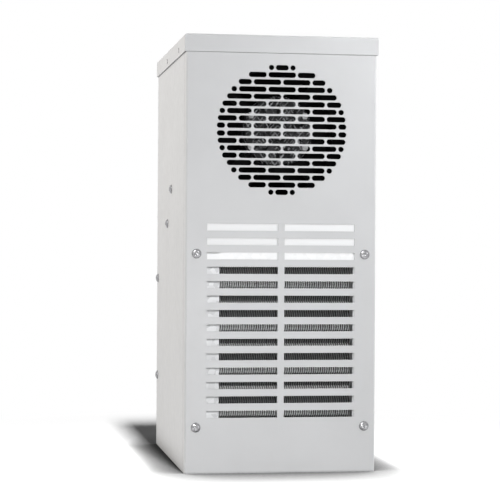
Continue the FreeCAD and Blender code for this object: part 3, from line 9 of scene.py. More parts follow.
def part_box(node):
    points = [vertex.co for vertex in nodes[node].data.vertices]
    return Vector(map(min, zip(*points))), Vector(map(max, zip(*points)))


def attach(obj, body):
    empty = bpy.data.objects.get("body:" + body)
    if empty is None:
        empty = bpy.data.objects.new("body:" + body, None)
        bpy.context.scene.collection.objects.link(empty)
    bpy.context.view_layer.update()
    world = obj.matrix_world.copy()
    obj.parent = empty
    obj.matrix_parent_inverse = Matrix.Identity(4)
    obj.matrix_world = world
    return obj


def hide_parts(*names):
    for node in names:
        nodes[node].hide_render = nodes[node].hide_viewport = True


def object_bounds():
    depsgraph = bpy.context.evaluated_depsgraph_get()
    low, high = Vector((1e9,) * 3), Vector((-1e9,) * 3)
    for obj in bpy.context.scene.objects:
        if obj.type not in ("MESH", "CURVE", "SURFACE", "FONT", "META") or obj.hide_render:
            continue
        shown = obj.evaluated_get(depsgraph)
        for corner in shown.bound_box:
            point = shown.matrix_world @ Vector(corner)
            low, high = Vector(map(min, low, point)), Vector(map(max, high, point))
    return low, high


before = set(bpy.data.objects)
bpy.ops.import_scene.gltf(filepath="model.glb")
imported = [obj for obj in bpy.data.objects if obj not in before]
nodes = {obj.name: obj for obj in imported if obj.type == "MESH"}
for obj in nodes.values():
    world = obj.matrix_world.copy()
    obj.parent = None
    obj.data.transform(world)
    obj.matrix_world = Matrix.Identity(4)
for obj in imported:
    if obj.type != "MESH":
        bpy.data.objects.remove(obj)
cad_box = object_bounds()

# Looks of an enclosure air conditioner: finishes, coil and fastener detail, floor, light and camera
MM = 0.001

# Camera as it stood for the photograph
CAMERA_PLACE = (-0.3582, -2.1984, 0.2658)
CAMERA_YAW = -8.935
CAMERA_PITCH = -0.033
CAMERA_ROLL = 0.334
FOCAL_PIXELS = 1739.3
IMAGE_SIDE = 500
SENSOR = 36.0

# Colours, as linear values
COAT = (0.622, 0.625, 0.632)
ZINC_SHEET = (0.92, 0.925, 0.93)
MILL_SHEET = (0.72, 0.725, 0.735)
ALUMINIUM = (0.86, 0.87, 0.88)
COLLAR = (0.95, 0.955, 0.96)
COPPER = (0.74, 0.37, 0.23)
COPPER_DULL = (0.36, 0.17, 0.10)
CAST = (0.62, 0.63, 0.64)
PLATED = (0.36, 0.36, 0.37)
BLACK_PAINT = (0.012, 0.012, 0.013)
RUBBER = (0.022, 0.022, 0.023)
PLASTIC = (0.020, 0.020, 0.021)
PALE = (0.62, 0.60, 0.54)
# Motor casting: near black, with bright aslant streaks as painted highlights
SHELL_DARK = (0.008, 0.0083, 0.009)
STREAK_HIGHLIGHT = (0.46, 0.465, 0.48)
DULL = (0.004, 0.004, 0.0042)
# Fins and the tube inside the fin pack: bright front edges, painted shade deeper in
FIN_EDGE = (0.85, 0.855, 0.865)
FIN_PAINTED_SHADE = (0.004, 0.004, 0.0042)
SHADE_START = 0.3 * MM
SHADE_FULL = 1.2 * MM
EDGE = 0.2 * MM
# Painted shade in the coat's seams: ambient occlusion darkens the colour within this reach
SEAM_REACH = 5 * MM
SEAM_TONE = 0.2
SEAM_SAMPLES = 8
STREAK_SLOPES = (35, -40)
MARK_REACH = 1.1 * MM
MARK_DEPTH = 1.3 * MM
PLATE_SPANGLE = 0.12
NUT_TONE = 0.55
FLANGE_SHEET = 1.4 * MM
BRIGHT_BAND = 13 * MM


# Node graphs of the finishes
class Graph:
    """Adds and links the nodes of one finish, in the object's own metres."""

    def __init__(self, name, colour, roughness, metallic=0.0):
        self.material = bpy.data.materials.new(name)
        self.material.use_nodes = True
        self.tree = self.material.node_tree
        self.shader = self.tree.nodes["Principled BSDF"]
        self.put("Base Color", (*colour, 1.0))
        self.put("Roughness", roughness)
        self.put("Metallic", metallic)
        self.place = self.add("ShaderNodeTexCoord").outputs["Object"]

    def add(self, kind, **inputs):
        made = self.tree.nodes.new(kind)
        for socket, value in inputs.items():
            self.feed(made.inputs[socket.replace("_", " ")], value)
        return made

    def feed(self, socket, value):
        if isinstance(value, bpy.types.NodeSocket):
            self.tree.links.new(value, socket)
        else:
            socket.default_value = value

    def put(self, socket, value):
        self.feed(self.shader.inputs[socket], value)

    def stretched(self, scale):
        made = self.add("ShaderNodeMapping", Vector=self.place)
        made.inputs["Scale"].default_value = scale
        return made.outputs["Vector"]

    def turned(self, degrees, scale):
        """The place turned first and then stretched, so that a stretched noise runs aslant."""
        spun = self.add("ShaderNodeMapping", Vector=self.place)
        spun.inputs["Rotation"].default_value = [math.radians(angle) for angle in degrees]
        made = self.add("ShaderNodeMapping", Vector=spun.outputs["Vector"])
        made.inputs["Scale"].default_value = scale
        return made.outputs["Vector"]

    def noise(self, size, detail=2.0, vector=None):
        """Soft noise whose lumps are about `size` metres across."""
        made = self.add("ShaderNodeTexNoise", Vector=vector or self.place, Scale=1.0 / size, Detail=detail)
        return made.outputs["Fac"]

    def cells(self, size, output="Color"):
        made = self.add("ShaderNodeTexVoronoi", Vector=self.place, Scale=1.0 / size)
        return made.outputs[output]

    def axis(self, letter):
        return self.add("ShaderNodeSeparateXYZ", Vector=self.place).outputs[letter]

    def span(self, value, low, high, start=0.3, end=0.7):
        """Maps start..end of a value to low..high."""
        made = self.add("ShaderNodeMapRange", Value=value)
        made.inputs["From Min"].default_value = start
        made.inputs["From Max"].default_value = end
        made.inputs["To Min"].default_value = low
        made.inputs["To Max"].default_value = high
        return made.outputs["Result"]

    def blend(self, factor, first, second):
        made = self.add("ShaderNodeMix")
        made.data_type = "RGBA"
        self.feed(made.inputs["Factor"], factor)
        for socket, colour in zip(made.inputs[6:8], (first, second)):
            self.feed(socket, colour if isinstance(colour, bpy.types.NodeSocket) else (*colour, 1.0))
        return made.outputs[2]

    def band(self, letter, start, end, inside, outside):
        """One colour between two places along an axis, and another one outside them."""
        place = self.axis(letter)
        entered = self.blend(self.span(place, 0, 1, start, start + EDGE), outside, inside)
        return self.blend(self.span(place, 0, 1, end - EDGE, end), entered, outside)

    def bump(self, height, strength, depth):
        made = self.add("ShaderNodeBump", Height=height, Strength=strength, Distance=depth)
        self.put("Normal", made.outputs["Normal"])


def shade(colour, factor):
    return tuple(part * factor for part in colour)


def powder_coat(name="powder_coat"):
    """Light grey powder coat: fine orange peel, faint clouds in colour and gloss, and painted shade in its
    seams.
    """
    graph = Graph(name, COAT, 0.4)
    clouds = graph.noise(60 * MM, 3.0)
    clean = graph.blend(graph.span(clouds, 0, 1), shade(COAT, 0.975), shade(COAT, 1.02))
    # Painted shade: ambient occlusion darkens the coat's colour in seams and recesses
    seam_shade = graph.add("ShaderNodeAmbientOcclusion", Distance=SEAM_REACH)
    seam_shade.samples = SEAM_SAMPLES
    openness = graph.span(seam_shade.outputs["AO"], 0, 1)
    graph.put("Base Color", graph.blend(openness, shade(COAT, SEAM_TONE), clean))
    graph.put("Roughness", graph.span(graph.noise(9 * MM, 3.0), 0.34, 0.46))
    graph.bump(graph.noise(0.9 * MM, 1.0), 0.25, 0.05 * MM)
    return graph.material


def galvanised(name="galvanised", colour=ZINC_SHEET, bright_above=None, spangle=0.025):
    """Zinc-coated sheet: chalky, with a faint sheen and a spangle; plain and bright over a level, if any."""
    graph = Graph(name, colour, 0.5, 0.12)
    tone = graph.add("ShaderNodeRGBToBW", Color=graph.cells(6 * MM)).outputs["Val"]
    sheet = graph.blend(graph.span(tone, 0, 1), shade(colour, 1 - spangle), shade(colour, 1 + spangle))
    if bright_above is not None:
        level = graph.axis("Z")
        sheet = graph.blend(graph.span(level, 0, 1, bright_above, bright_above + EDGE), sheet, ZINC_SHEET)
    graph.put("Base Color", sheet)
    graph.put("Roughness", graph.span(tone, 0.42, 0.56))
    graph.bump(graph.noise(4 * MM, 4.0), 0.12, 0.06 * MM)
    return graph.material


def fin_aluminium(name="fin_aluminium", front=None):
    """Thin bright sheet with rolling marks; painted dark behind its front edges as painted shade, if a front
    is given.
    """
    graph = Graph(name, ALUMINIUM, 0.35, 0.4)
    marks = graph.noise(2 * MM, 2.0, graph.stretched((1, 1, 0.08)))
    sheet = graph.blend(graph.span(marks, 0, 1), shade(ALUMINIUM, 0.85), ALUMINIUM)
    if front is not None:
        # Painted shade: the fin darkens with depth behind its front edge
        shade_and_blotches = graph.span(graph.axis("Y"), 0, 1, front + SHADE_START, front + SHADE_FULL)
        sheet = graph.blend(shade_and_blotches, FIN_EDGE, FIN_PAINTED_SHADE)
    graph.put("Base Color", sheet)
    graph.put("Roughness", graph.span(marks, 0.28, 0.45))
    return graph.material


def collar_aluminium(name="collar_aluminium"):
    """Drawn collars, polished by the tube that was pressed through them."""
    graph = Graph(name, COLLAR, 0.35, 0.05)
    marks = graph.noise(1.2 * MM, 3.0)
    graph.put("Base Color", graph.blend(graph.span(marks, 0, 1), shade(COLLAR, 0.9), COLLAR))
    graph.put("Roughness", graph.span(marks, 0.25, 0.4))
    return graph.material


def copper(name="copper", shaded_span=None):
    """Drawn tube, bright or tarnished in places; painted near black between two places along X as painted
    shade, if given.
    """
    graph = Graph(name, COPPER, 0.28, 1.0)
    tarnish = graph.noise(14 * MM, 5.0)
    tube = graph.blend(graph.span(tarnish, 0, 1, 0.4, 0.75), COPPER, COPPER_DULL)
    if shaded_span is not None:
        # Painted shade: the tube is near black between the end plates, inside the fin pack
        tube = graph.band("X", *shaded_span, FIN_PAINTED_SHADE, tube)
    graph.put("Base Color", tube)
    graph.put("Roughness", graph.span(tarnish, 0.2, 0.5))
    return graph.material


def motor_shell(name="motor_shell"):
    """Cast aluminium with a grain."""
    graph = Graph(name, CAST, 0.4, 1.0)
    grain = graph.noise(1.6 * MM, 4.0)
    graph.put("Base Color", graph.blend(graph.span(grain, 0, 1), shade(CAST, 0.55), shade(CAST, 1.25)))
    graph.put("Roughness", graph.span(grain, 0.28, 0.5))
    graph.bump(grain, 0.35, 0.25 * MM)
    return graph.material


def streaked_shell(name="streaked_shell"):
    """Motor casting, near black, with bright streaks that run aslant both ways: painted highlights of the
    metal.
    """
    graph = Graph(name, SHELL_DARK, 0.45, 0.5)
    graph.put("Specular IOR Level", 0.3)
    clouds = graph.noise(16 * MM, 4.0)
    sheet = graph.blend(graph.span(clouds, 0, 1, 0.4, 0.7), SHELL_DARK, shade(STREAK_HIGHLIGHT, 0.12))
    # Painted highlights: bright streaks aslant across the near-black casting
    for slope in STREAK_SLOPES:
        painted_streaks = graph.noise(2.2 * MM, 3.0, graph.turned((0, slope, 0), (1, 1, 0.14)))
        sheet = graph.blend(graph.span(painted_streaks, 0, 1, 0.57, 0.72), sheet, STREAK_HIGHLIGHT)
    graph.put("Base Color", sheet)
    graph.put("Roughness", graph.span(clouds, 0.5, 0.35))
    graph.bump(graph.noise(1.6 * MM, 4.0), 0.35, 0.25 * MM)
    return graph.material


def dull_sheet(name="dull_sheet", bright_until=None):
    """Zinc-coated sheet deep in the cabinet, near black with blotches; bright zinc in front of a plane along
    Y, if given.
    """
    graph = Graph(name, DULL, 0.6)
    graph.put("Specular IOR Level", 0.12)
    shade_and_blotches = graph.noise(18 * MM, 4.0)
    tone = graph.blend(graph.span(shade_and_blotches, 0, 1), shade(DULL, 0.7), shade(DULL, 1.3))
    if bright_until is not None:
        depth = graph.span(graph.axis("Y"), 0, 1, bright_until, bright_until + EDGE)
        tone = graph.blend(depth, ZINC_SHEET, tone)
    graph.put("Base Color", tone)
    graph.put("Roughness", graph.span(shade_and_blotches, 0.5, 0.7))
    return graph.material


def zinc_steel(name="zinc_steel"):
    """Bright plated steel."""
    graph = Graph(name, PLATED, 0.2, 1.0)
    wear = graph.noise(2.5 * MM, 4.0)
    graph.put("Base Color", graph.blend(graph.span(wear, 0, 1), shade(PLATED, 0.8), shade(PLATED, 1.1)))
    graph.put("Roughness", graph.span(wear, 0.14, 0.32))
    return graph.material


def black_enamel(name="black_enamel"):
    graph = Graph(name, BLACK_PAINT, 0.3)
    graph.put("Roughness", graph.span(graph.noise(12 * MM, 4.0), 0.22, 0.42))
    graph.put("Base Color", graph.blend(graph.noise(25 * MM, 3.0), BLACK_PAINT, shade(BLACK_PAINT, 1.8)))
    graph.bump(graph.noise(1.2 * MM, 1.0), 0.2, 0.05 * MM)
    return graph.material


def black_rubber(name="black_rubber"):
    """Closed-cell foam and rubber: a skin of fine cells."""
    graph = Graph(name, RUBBER, 0.8)
    cells = graph.cells(1.1 * MM, "Distance")
    depth = graph.span(cells, 0, 1, 0.0, 0.6)
    graph.put("Base Color", graph.blend(depth, shade(RUBBER, 1.6), shade(RUBBER, 0.6)))
    graph.put("Roughness", graph.span(graph.noise(5 * MM), 0.7, 0.9))
    graph.bump(cells, 0.5, 0.3 * MM)
    return graph.material


def black_plastic(name="black_plastic", mark=None):
    """Grained plastic; a groove is filled with pale paint, if the groove floor's place is given."""
    graph = Graph(name, PLASTIC, 0.5)
    grain = graph.noise(0.7 * MM, 2.0)
    colour = graph.blend(graph.noise(20 * MM, 2.0), PLASTIC, shade(PLASTIC, 1.6))
    if mark is not None:
        across, floor = mark
        line = graph.band("X", across - MARK_REACH, across + MARK_REACH, PALE, colour)
        colour = graph.band("Y", floor - MARK_REACH, floor + MARK_REACH, line, colour)
    graph.put("Base Color", colour)
    graph.put("Roughness", graph.span(graph.noise(8 * MM, 2.0), 0.42, 0.58))
    graph.bump(grain, 0.3, 0.08 * MM)
    return graph.material


def pale_plastic(name="pale_plastic"):
    graph = Graph(name, PALE, 0.45)
    graph.put("Base Color", graph.blend(graph.noise(15 * MM, 2.0), shade(PALE, 0.93), shade(PALE, 1.04)))
    graph.put("Roughness", graph.span(graph.noise(6 * MM, 2.0), 0.38, 0.55))
    graph.bump(graph.noise(0.8 * MM, 1.0), 0.2, 0.05 * MM)
    return graph.material


def capacitor_can(name="capacitor_can"):
    """Drawn aluminium can with upright drawing marks."""
    graph = Graph(name, CAST, 0.3, 1.0)
    marks = graph.noise(0.8 * MM, 2.0, graph.stretched((1, 1, 0.05)))
    graph.put("Base Color", graph.blend(graph.span(marks, 0, 1), shade(CAST, 0.9), shade(CAST, 1.2)))
    graph.put("Roughness", graph.span(marks, 0.22, 0.4))
    return graph.material


FINISHES = {
    "powder_coat": powder_coat(),
    "galvanised": galvanised(),
    "fin_aluminium": fin_aluminium(),
    "copper": copper(),
    "motor_shell": motor_shell(),
    "zinc_steel": zinc_steel(),
    "black_enamel": black_enamel(),
    "black_rubber": black_rubber(),
    "black_plastic": black_plastic(),
    "pale_plastic": pale_plastic(),
    "capacitor_can": capacitor_can(),
}


# Finishes of single pieces: painted shade inside the fin pack, near-black sheet and castings deep in the
# cabinet, and the dial's paint
FIN_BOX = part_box("condenser_fins")
DULL_SHEET = dull_sheet()
STREAKED_SHELL = streaked_shell()
END_PLATE = galvanised("end_plate", MILL_SHEET, FIN_BOX[1].z - BRIGHT_BAND, PLATE_SPANGLE)
COLLARS = collar_aluminium()
MOTOR_NUTS = galvanised("motor_nuts", shade(ZINC_SHEET, NUT_TONE))
SHADED_FINS = fin_aluminium("depth_shaded_fins", FIN_BOX[0].y)
FIN_SPAN = (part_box("condenser_left_end_plate")[1].x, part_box("condenser_right_end_plate")[0].x)
SHADED_TUBE = copper("shaded_tube", FIN_SPAN)
DIAL_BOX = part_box("thermostat_dial")
DIAL_MARK = ((DIAL_BOX[0].x + DIAL_BOX[1].x) / 2, DIAL_BOX[1].y - MARK_DEPTH)
MARKED_DIAL = black_plastic("marked_dial", DIAL_MARK)
SHROUD_SHEET = dull_sheet("shroud_sheet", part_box("condenser_fan_shroud")[0].y + FLANGE_SHEET)
PIECE_FINISHES = {
    "condenser_fan_shroud": SHROUD_SHEET,
    "condenser_left_end_plate": END_PLATE,
    "condenser_right_end_plate": END_PLATE,
    "condenser_tube": SHADED_TUBE,
    "partition": DULL_SHEET,
    "condenser_motor_bracket": DULL_SHEET,
    "condenser_motor": STREAKED_SHELL,
    "condenser_motor_bell": STREAKED_SHELL,
    "condenser_motor_nuts": MOTOR_NUTS,
    "condenser_fan": DULL_SHEET,
    "thermostat_dial": MARKED_DIAL,
}


def dress_nodes():
    """Gives every CAD node the finish of its material slot, or the one made for its place."""
    for name, node in nodes.items():
        for place, old in enumerate(node.data.materials):
            node.data.materials[place] = PIECE_FINISHES.get(name) or FINISHES[old.name]


# Pieces made here
def add_piece(name, mesh, slot, body, *stands_for):
    """Links a mesh as a piece of the object, with its finish and body, and hides the nodes that it stands
    for.
    """
    piece = bpy.data.objects.new(name, mesh)
    bpy.context.scene.collection.objects.link(piece)
    mesh.materials.clear()
    mesh.materials.append(FINISHES[slot])
    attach(piece, body)
    if stands_for:
        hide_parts(*stands_for)
    return piece


def mesh_from(name, form, smooth_angle=None):
    mesh = bpy.data.meshes.new(name)
    form.to_mesh(mesh)
    form.free()
    if smooth_angle is not None:
        mesh.shade_smooth()
        mesh.set_sharp_from_angle(angle=math.radians(smooth_angle))
    return mesh


# Cross-head screws
RECESS_TOP = 3.1 * MM
RECESS_FLOOR = 1.2 * MM
RECESS_WIDE = 0.85 * MM
RECESS_NARROW = 0.5 * MM
RECESS_DEPTH = 2.0 * MM
RECESS_OVER = 0.4 * MM
FIRST_TURN = 11
SCREW_TURN = 37
HEAD_SMOOTH = 35
WELD_REACH = 0.002 * MM


def welded(node):
    """The node's mesh with its split corners joined."""
    form = bmesh.new()
    form.from_mesh(nodes[node].data)
    bmesh.ops.remove_doubles(form, verts=form.verts, dist=WELD_REACH)
    return form


def islands(form):
    """The separate solids of a mesh, each as a list of its points."""
    left = set(form.verts)
    found = []
    while left:
        group = [left.pop()]
        for vertex in group:
            near = {edge.other_vert(vertex) for edge in vertex.link_edges} & left
            left -= near
            group.extend(near)
        found.append([vertex.co.copy() for vertex in group])
    found.sort(key=lambda points: min(tuple(round(part, 4) for part in point) for point in points))
    return found


def cross_outline(reach, half):
    quarter = [(reach, -half), (reach, half), (half, half)]
    points = []
    for turn in range(4):
        rotation = Matrix.Rotation(turn * math.pi / 2, 2)
        points.extend(rotation @ Vector(point) for point in quarter)
    return points


def add_cross(form, place, outward, turn):
    """A tapered cross that is cut out of a head, from just over it to its floor."""
    across = Vector((0, 0, 1)).cross(outward)
    frame_axes = Matrix((across, Vector((0, 0, 1)), outward)).transposed()
    spin = Matrix.Rotation(math.radians(turn), 2)
    rings = []
    for level, reach, half in (
        (RECESS_OVER, RECESS_TOP, RECESS_WIDE),
        (-RECESS_DEPTH, RECESS_FLOOR, RECESS_NARROW),
    ):
        points = [spin @ point for point in cross_outline(reach, half)]
        rings.append([form.verts.new(place + frame_axes @ Vector((*point, level))) for point in points])
    top, floor = rings
    form.faces.new(top)
    form.faces.new(list(reversed(floor)))
    for i in range(len(top)):
        j = (i + 1) % len(top)
        form.faces.new((top[j], top[i], floor[i], floor[j]))


def screw_top(points):
    """Where a screw's head ends and the way it points out of the cabinet."""
    low = Vector(map(min, zip(*points)))
    high = Vector(map(max, zip(*points)))
    middle = (low + high) / 2
    size = high - low
    if size.y > size.x:
        return Vector((middle.x, low.y, middle.z)), Vector((0, -1, 0))
    if middle.x < 0:
        return Vector((low.x, middle.y, middle.z)), Vector((-1, 0, 0))
    return Vector((high.x, middle.y, middle.z)), Vector((1, 0, 0))


def make_cross_heads(node, name):
    """A screw node again, with a cross recess in each head, each turned its own way."""
    heads = welded(node)
    cutter = bmesh.new()
    for number, points in enumerate(islands(heads)):
        place, outward = screw_top(points)
        add_cross(cutter, place, outward, FIRST_TURN + SCREW_TURN * number)
    bmesh.ops.recalc_face_normals(cutter, faces=cutter.faces)
    body = bpy.data.objects.new(name + "_heads", mesh_from(name + "_heads", heads))
    tool = bpy.data.objects.new(name + "_tool", mesh_from(name + "_tool", cutter))
    for item in (body, tool):
        bpy.context.scene.collection.objects.link(item)
    boolean = body.modifiers.new("recess", "BOOLEAN")
    boolean.operation = "DIFFERENCE"
    boolean.solver = "EXACT"
    boolean.object = tool
    graph = bpy.context.evaluated_depsgraph_get()
    mesh = bpy.data.meshes.new_from_object(body.evaluated_get(graph))
    mesh.name = name
    mesh.shade_smooth()
    mesh.set_sharp_from_angle(angle=math.radians(HEAD_SMOOTH))
    bpy.data.objects.remove(body)
    bpy.data.objects.remove(tool)
    return add_piece(name, mesh, "zinc_steel", "cabinet", node)


# Coils: rippled fins, and the fins' collars round the tubes
RIPPLE = 0.6 * MM
RIPPLE_LENGTH = 12.7 * MM
FIN_LEAN = 0.18 * MM
FIN_STEPS = 16
COLLAR_OVER = 0.6 * MM
COLLAR_FLARE = 1.0 * MM
COLLAR_NECK = 0.25
COLLAR_SHARE = 0.85
COLLAR_SMOOTH = 40
COLLAR_SIDES = 20
TUBE_STEP = 25.4 * MM
SEED = 7


def zigzag(value):
    """A wave between -1 and 1 with straight flanks."""
    part = value % 1.0
    return 4 * abs(part - 0.5) - 1


def fin_faces(node):
    """The left and right face of each fin, from the node's own mesh."""
    places = sorted({round(vertex.co.x, 6) for vertex in nodes[node].data.vertices})
    return list(zip(places[::2], places[1::2]))


def make_rippled_fins(node, name, finish):
    """Each fin is pressed into waves from its foot to its top, and stands a little off true."""
    low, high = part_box(node)
    draw = random.Random(SEED)
    form = bmesh.new()
    steps = round((high.z - low.z) / RIPPLE_LENGTH * FIN_STEPS / 4)
    for left, right in fin_faces(node):
        lean = draw.uniform(-FIN_LEAN, FIN_LEAN)
        rings = []
        for step in range(steps + 1):
            level = low.z + (high.z - low.z) * step / steps
            wave = RIPPLE * zigzag((level - low.z) / RIPPLE_LENGTH)
            rings.append([
                form.verts.new((left + wave + lean, low.y, level)),
                form.verts.new((right + wave + lean, low.y, level)),
                form.verts.new((right + wave, high.y, level)),
                form.verts.new((left + wave, high.y, level)),
            ])
        form.faces.new(list(reversed(rings[0])))
        form.faces.new(rings[-1])
        for below, above in zip(rings, rings[1:]):
            for i in range(4):
                j = (i + 1) % 4
                form.faces.new((below[i], below[j], above[j], above[i]))
    piece = add_piece(name, mesh_from(name, form), "fin_aluminium", "cabinet", node)
    piece.data.materials[0] = finish
    return piece


def make_collars(fins, tube, name):
    """Collars drawn up from each fin, which cover the tubes between the fins."""
    low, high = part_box(tube)
    faces = fin_faces(fins)
    radius = (high.y - low.y) / 2
    y = (low.y + high.y) / 2
    lowest = low.z + radius
    form = bmesh.new()
    passes = round((high.z - radius - lowest) / TUBE_STEP) + 1
    for row in range(passes):
        z = lowest + row * TUBE_STEP
        for (_, start), (end, _) in zip(faces, faces[1:]):
            rings = []
            for share, over in ((0, COLLAR_FLARE), (COLLAR_NECK, COLLAR_OVER), (COLLAR_SHARE, COLLAR_OVER)):
                x = end - share * (end - start)
                reach = radius + over
                ring = []
                for side in range(COLLAR_SIDES):
                    angle = 2 * math.pi * side / COLLAR_SIDES
                    ring.append(form.verts.new((x, y + reach * math.cos(angle), z + reach * math.sin(angle))))
                rings.append(ring)
            for first, second in zip(rings, rings[1:]):
                for i in range(COLLAR_SIDES):
                    j = (i + 1) % COLLAR_SIDES
                    form.faces.new((first[i], first[j], second[j], second[i]))
            form.faces.new(list(reversed(rings[0])))
            form.faces.new(rings[-1])
    bmesh.ops.recalc_face_normals(form, faces=form.faces)
    piece = add_piece(name, mesh_from(name, form, COLLAR_SMOOTH), "fin_aluminium", "cabinet")
    piece.data.materials[0] = COLLARS


# Floor, light and camera
FLOOR_RADIUS = 6.0
FLOOR_SIDES = 96
FLOOR_COLOUR = 0.55
FLOOR_BOUNCE = 0.21
FLOOR_LIFT = 0.05
FADE_START = 0.38
FADE_END = 0.64
AMBIENT = 0.03
# Painted contact shadow: ambient occlusion darkens the floor's colour near the foot
CONTACT_FRONT = 0.13
CONTACT_SIDE = 0.04
CONTACT_DEPTH = 2.8
CONTACT_SAMPLES = 8


def any_ray(tree, *rays):
    """1 for the named kinds of ray, 0 for the rest."""
    path = tree.nodes.new("ShaderNodeLightPath")
    value = path.outputs[rays[0]]
    for ray in rays[1:]:
        most = tree.nodes.new("ShaderNodeMath")
        most.operation = "MAXIMUM"
        tree.links.new(value, most.inputs[0])
        tree.links.new(path.outputs[ray], most.inputs[1])
        value = most.outputs[0]
    return value


def contact_reach(tree, math_node):
    """How far the painted contact shadow along the foot reaches: further in front than beside the object."""
    place = tree.nodes.new("ShaderNodeTexCoord")
    parts = tree.nodes.new("ShaderNodeSeparateXYZ")
    tree.links.new(place.outputs["Object"], parts.inputs[0])
    aside = tree.nodes.new("ShaderNodeMapRange")
    half = cad_box[1].x
    for socket, value in zip(aside.inputs[1:5], (half, half + CONTACT_SIDE, CONTACT_FRONT, CONTACT_SIDE)):
        socket.default_value = value
    tree.links.new(math_node("ABSOLUTE", parts.outputs["X"], 0), aside.inputs["Value"])
    return aside.outputs["Result"]


def floor_material():
    """Pale floor that keeps the shadow near the object, darkens it further by ambient occlusion as a painted
    contact shadow, and turns plain white further out.
    """
    material = bpy.data.materials.new("floor")
    material.use_nodes = True
    tree = material.node_tree
    tree.nodes.clear()

    def math_node(operation, first, second):
        made = tree.nodes.new("ShaderNodeMath")
        made.operation = operation
        for socket, value in zip(made.inputs, (first, second)):
            if isinstance(value, bpy.types.NodeSocket):
                tree.links.new(value, socket)
            else:
                socket.default_value = value
        return made.outputs[0]

    seen = any_ray(tree, "Is Camera Ray", "Is Glossy Ray", "Is Transmission Ray")
    # Painted shadow: ambient occlusion darkens the floor near the object
    contact_shade = tree.nodes.new("ShaderNodeAmbientOcclusion")
    contact_shade.samples = CONTACT_SAMPLES
    tree.links.new(contact_reach(tree, math_node), contact_shade.inputs["Distance"])
    open_sky = math_node("POWER", contact_shade.outputs["AO"], math_node("MULTIPLY", seen, CONTACT_DEPTH))
    tone = tree.nodes.new("ShaderNodeCombineColor")
    pale = math_node("ADD", math_node("MULTIPLY", seen, FLOOR_COLOUR - FLOOR_BOUNCE), FLOOR_BOUNCE)
    shaded = math_node("MULTIPLY", pale, open_sky)
    for socket in tone.inputs:
        tree.links.new(shaded, socket)
    plain = tree.nodes.new("ShaderNodeBsdfDiffuse")
    tree.links.new(tone.outputs["Color"], plain.inputs["Color"])
    lift = tree.nodes.new("ShaderNodeEmission")
    lifted = math_node("MULTIPLY", math_node("MULTIPLY", open_sky, FLOOR_LIFT), seen)
    tree.links.new(lifted, lift.inputs["Strength"])
    near = tree.nodes.new("ShaderNodeAddShader")
    tree.links.new(plain.outputs[0], near.inputs[0])
    tree.links.new(lift.outputs[0], near.inputs[1])
    place = tree.nodes.new("ShaderNodeTexCoord")
    reach = tree.nodes.new("ShaderNodeVectorMath")
    reach.operation = "LENGTH"
    tree.links.new(place.outputs["Object"], reach.inputs[0])
    fade = tree.nodes.new("ShaderNodeMapRange")
    fade.interpolation_type = "SMOOTHSTEP"
    fade.inputs["From Min"].default_value = FADE_START
    fade.inputs["From Max"].default_value = FADE_END
    tree.links.new(reach.outputs["Value"], fade.inputs["Value"])
    white = tree.nodes.new("ShaderNodeEmission")
    mix = tree.nodes.new("ShaderNodeMixShader")
    tree.links.new(math_node("MULTIPLY", fade.outputs["Result"], seen), mix.inputs[0])
    tree.links.new(near.outputs[0], mix.inputs[1])
    tree.links.new(white.outputs[0], mix.inputs[2])
    output = tree.nodes.new("ShaderNodeOutputMaterial")
    tree.links.new(mix.outputs[0], output.inputs["Surface"])
    return material


def make_floor():
    form = bmesh.new()
    bmesh.ops.create_circle(form, cap_ends=True, segments=FLOOR_SIDES, radius=FLOOR_RADIUS)
    mesh = mesh_from("floor", form)
    mesh.materials.append(floor_material())
    floor = bpy.data.objects.new("floor", mesh)
    bpy.context.scene.collection.objects.link(floor)
    return floor


def make_world():
    """White where it is seen or mirrored, and a plain soft light on everything else."""
    world = bpy.data.worlds.new("studio")
    world.use_nodes = True
    tree = world.node_tree
    tree.nodes.clear()
    seen = any_ray(tree, "Is Camera Ray", "Is Glossy Ray", "Is Transmission Ray")
    light = tree.nodes.new("ShaderNodeBackground")
    light.inputs["Strength"].default_value = AMBIENT
    white = tree.nodes.new("ShaderNodeBackground")
    white.inputs["Strength"].default_value = 1.0
    for background in (light, white):
        background.inputs["Color"].default_value = (1, 1, 1, 1)
    mix = tree.nodes.new("ShaderNodeMixShader")
    output = tree.nodes.new("ShaderNodeOutputWorld")
    tree.links.new(seen, mix.inputs[0])
    tree.links.new(light.outputs[0], mix.inputs[1])
    tree.links.new(white.outputs[0], mix.inputs[2])
    tree.links.new(mix.outputs[0], output.inputs["Surface"])
    bpy.context.scene.world = world


def add_lamp(name, place, target, width, height, power, colour):
    """A soft box at a place, turned to a target."""
    lamp = bpy.data.lights.new(name, "AREA")
    lamp.shape = "RECTANGLE"
    lamp.size = width
    lamp.size_y = height
    lamp.energy = power
    lamp.color = colour
    item = bpy.data.objects.new(name, lamp)
    item.visible_camera = False
    item.location = place
    item.rotation_euler = (Vector(target) - Vector(place)).to_track_quat("-Z", "Y").to_euler()
    bpy.context.scene.collection.objects.link(item)
    return item


def share_light(lamp, pieces, state):
    """Lets a lamp light these pieces only (INCLUDE) or all but these (EXCLUDE)."""
    group = bpy.data.collections.new(lamp.name + "_reach")
    for piece in pieces:
        group.objects.link(piece)
    lamp.light_linking.receiver_collection = group
    for link in group.collection_objects:
        link.light_linking.link_state = state


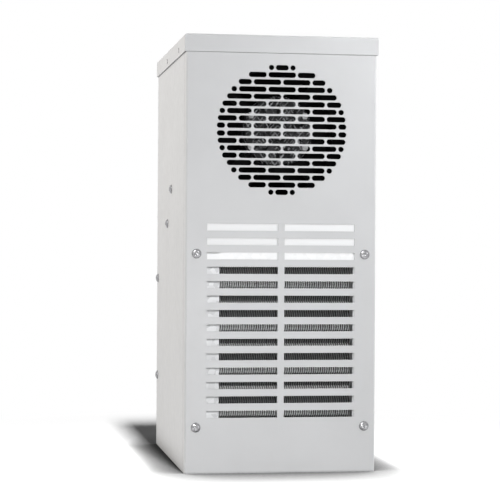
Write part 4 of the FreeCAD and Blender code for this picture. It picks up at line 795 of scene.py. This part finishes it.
def make_lamps(floor, screws, plates, fins):
    """Soft boxes for the object, and lamps that light the floor, fins, end plates or screws alone."""
    cool = (0.97, 0.985, 1.0)
    warm = (1.0, 0.965, 0.915)
    plain = (1, 1, 1)
    middle = (0, 0, 0.26)
    boxes = {
        "front_key": ((-0.3, -5.8, 1.8), 0.5, 66, plain),
        "low_key": ((-0.1, -1.2, 0.11), 0.2, 3.1, plain),
        "near_glow": ((0.6, -0.9, 0.8), 0.3, 3.6, cool),
        "corner_glow": ((0.25, -0.45, 0.65), 0.15, 0.42, cool),
        "left_fill": ((-1.8, 0.2, 1.3), 0.4, 31, warm),
        "right_fill": ((2.2, 0.2, 1.1), 0.6, 28, plain),
        "back_fill": ((1.0, 2.8, 1.0), 0.6, 60, plain),
        "top_fill": ((0.1, -0.3, 3.0), 0.5, 10, plain),
    }
    for name, (place, size, power, colour) in boxes.items():
        lamp = add_lamp(name, place, middle, size, size, power, colour)
        # Only the low lamp shows in gloss, so that the lid doesn't glare from behind
        lamp.visible_glossy = name == "low_key"
        spared = [floor, fins, *plates] if name in ("front_key", "low_key") else [floor, fins]
        share_light(lamp, spared, "EXCLUDE")
    # The keys of the fins and plates stand over the slots, whose upper edges throw a dark line on them
    single = {
        "floor_key": ([floor], (0, -1.5, 3.0), (0, 0, 0), 0.18, 1.0, 258),
        "fin_key": ([fins], (-0.2, -2.4, 1.15), middle, 0.2, 0.2, 27),
        "plate_key": (plates, (-0.2, -1.7, 2.1), middle, 0.2, 0.2, 48),
        "glint": (screws, (-1.2, -1.7, 1.75), middle, 1.0, 1.0, 26),
    }
    for name, (pieces, place, target, width, height, power) in single.items():
        lamp = add_lamp(name, place, target, width, height, power, plain)
        share_light(lamp, pieces, "INCLUDE")


def make_camera():
    data = bpy.data.cameras.new("camera")
    data.sensor_width = SENSOR
    data.lens = FOCAL_PIXELS / IMAGE_SIDE * SENSOR
    camera = bpy.data.objects.new("camera", data)
    turn = Matrix.Rotation(math.radians(CAMERA_YAW), 4, "Z")
    tilt = Matrix.Rotation(math.radians(90 + CAMERA_PITCH), 4, "X")
    roll = Matrix.Rotation(math.radians(CAMERA_ROLL), 4, "Z")
    camera.matrix_world = Matrix.Translation(CAMERA_PLACE) @ turn @ tilt @ roll
    bpy.context.scene.collection.objects.link(camera)
    bpy.context.scene.camera = camera


dress_nodes()
screw_heads = [
    make_cross_heads("front_screws", "front_screw_heads"),
    make_cross_heads("side_screws", "side_screw_heads"),
]
fin_pack = make_rippled_fins("condenser_fins", "condenser_fin_pack", SHADED_FINS)
make_collars("condenser_fins", "condenser_tube", "condenser_fin_collars")
make_rippled_fins("evaporator_fins", "evaporator_fin_pack", FINISHES["fin_aluminium"])
make_collars("evaporator_fins", "evaporator_tube", "evaporator_fin_collars")
make_world()
end_plates = [nodes["condenser_left_end_plate"], nodes["condenser_right_end_plate"]]
make_lamps(make_floor(), screw_heads, end_plates, fin_pack)
make_camera()
bpy.context.scene.view_settings.view_transform = "Standard"
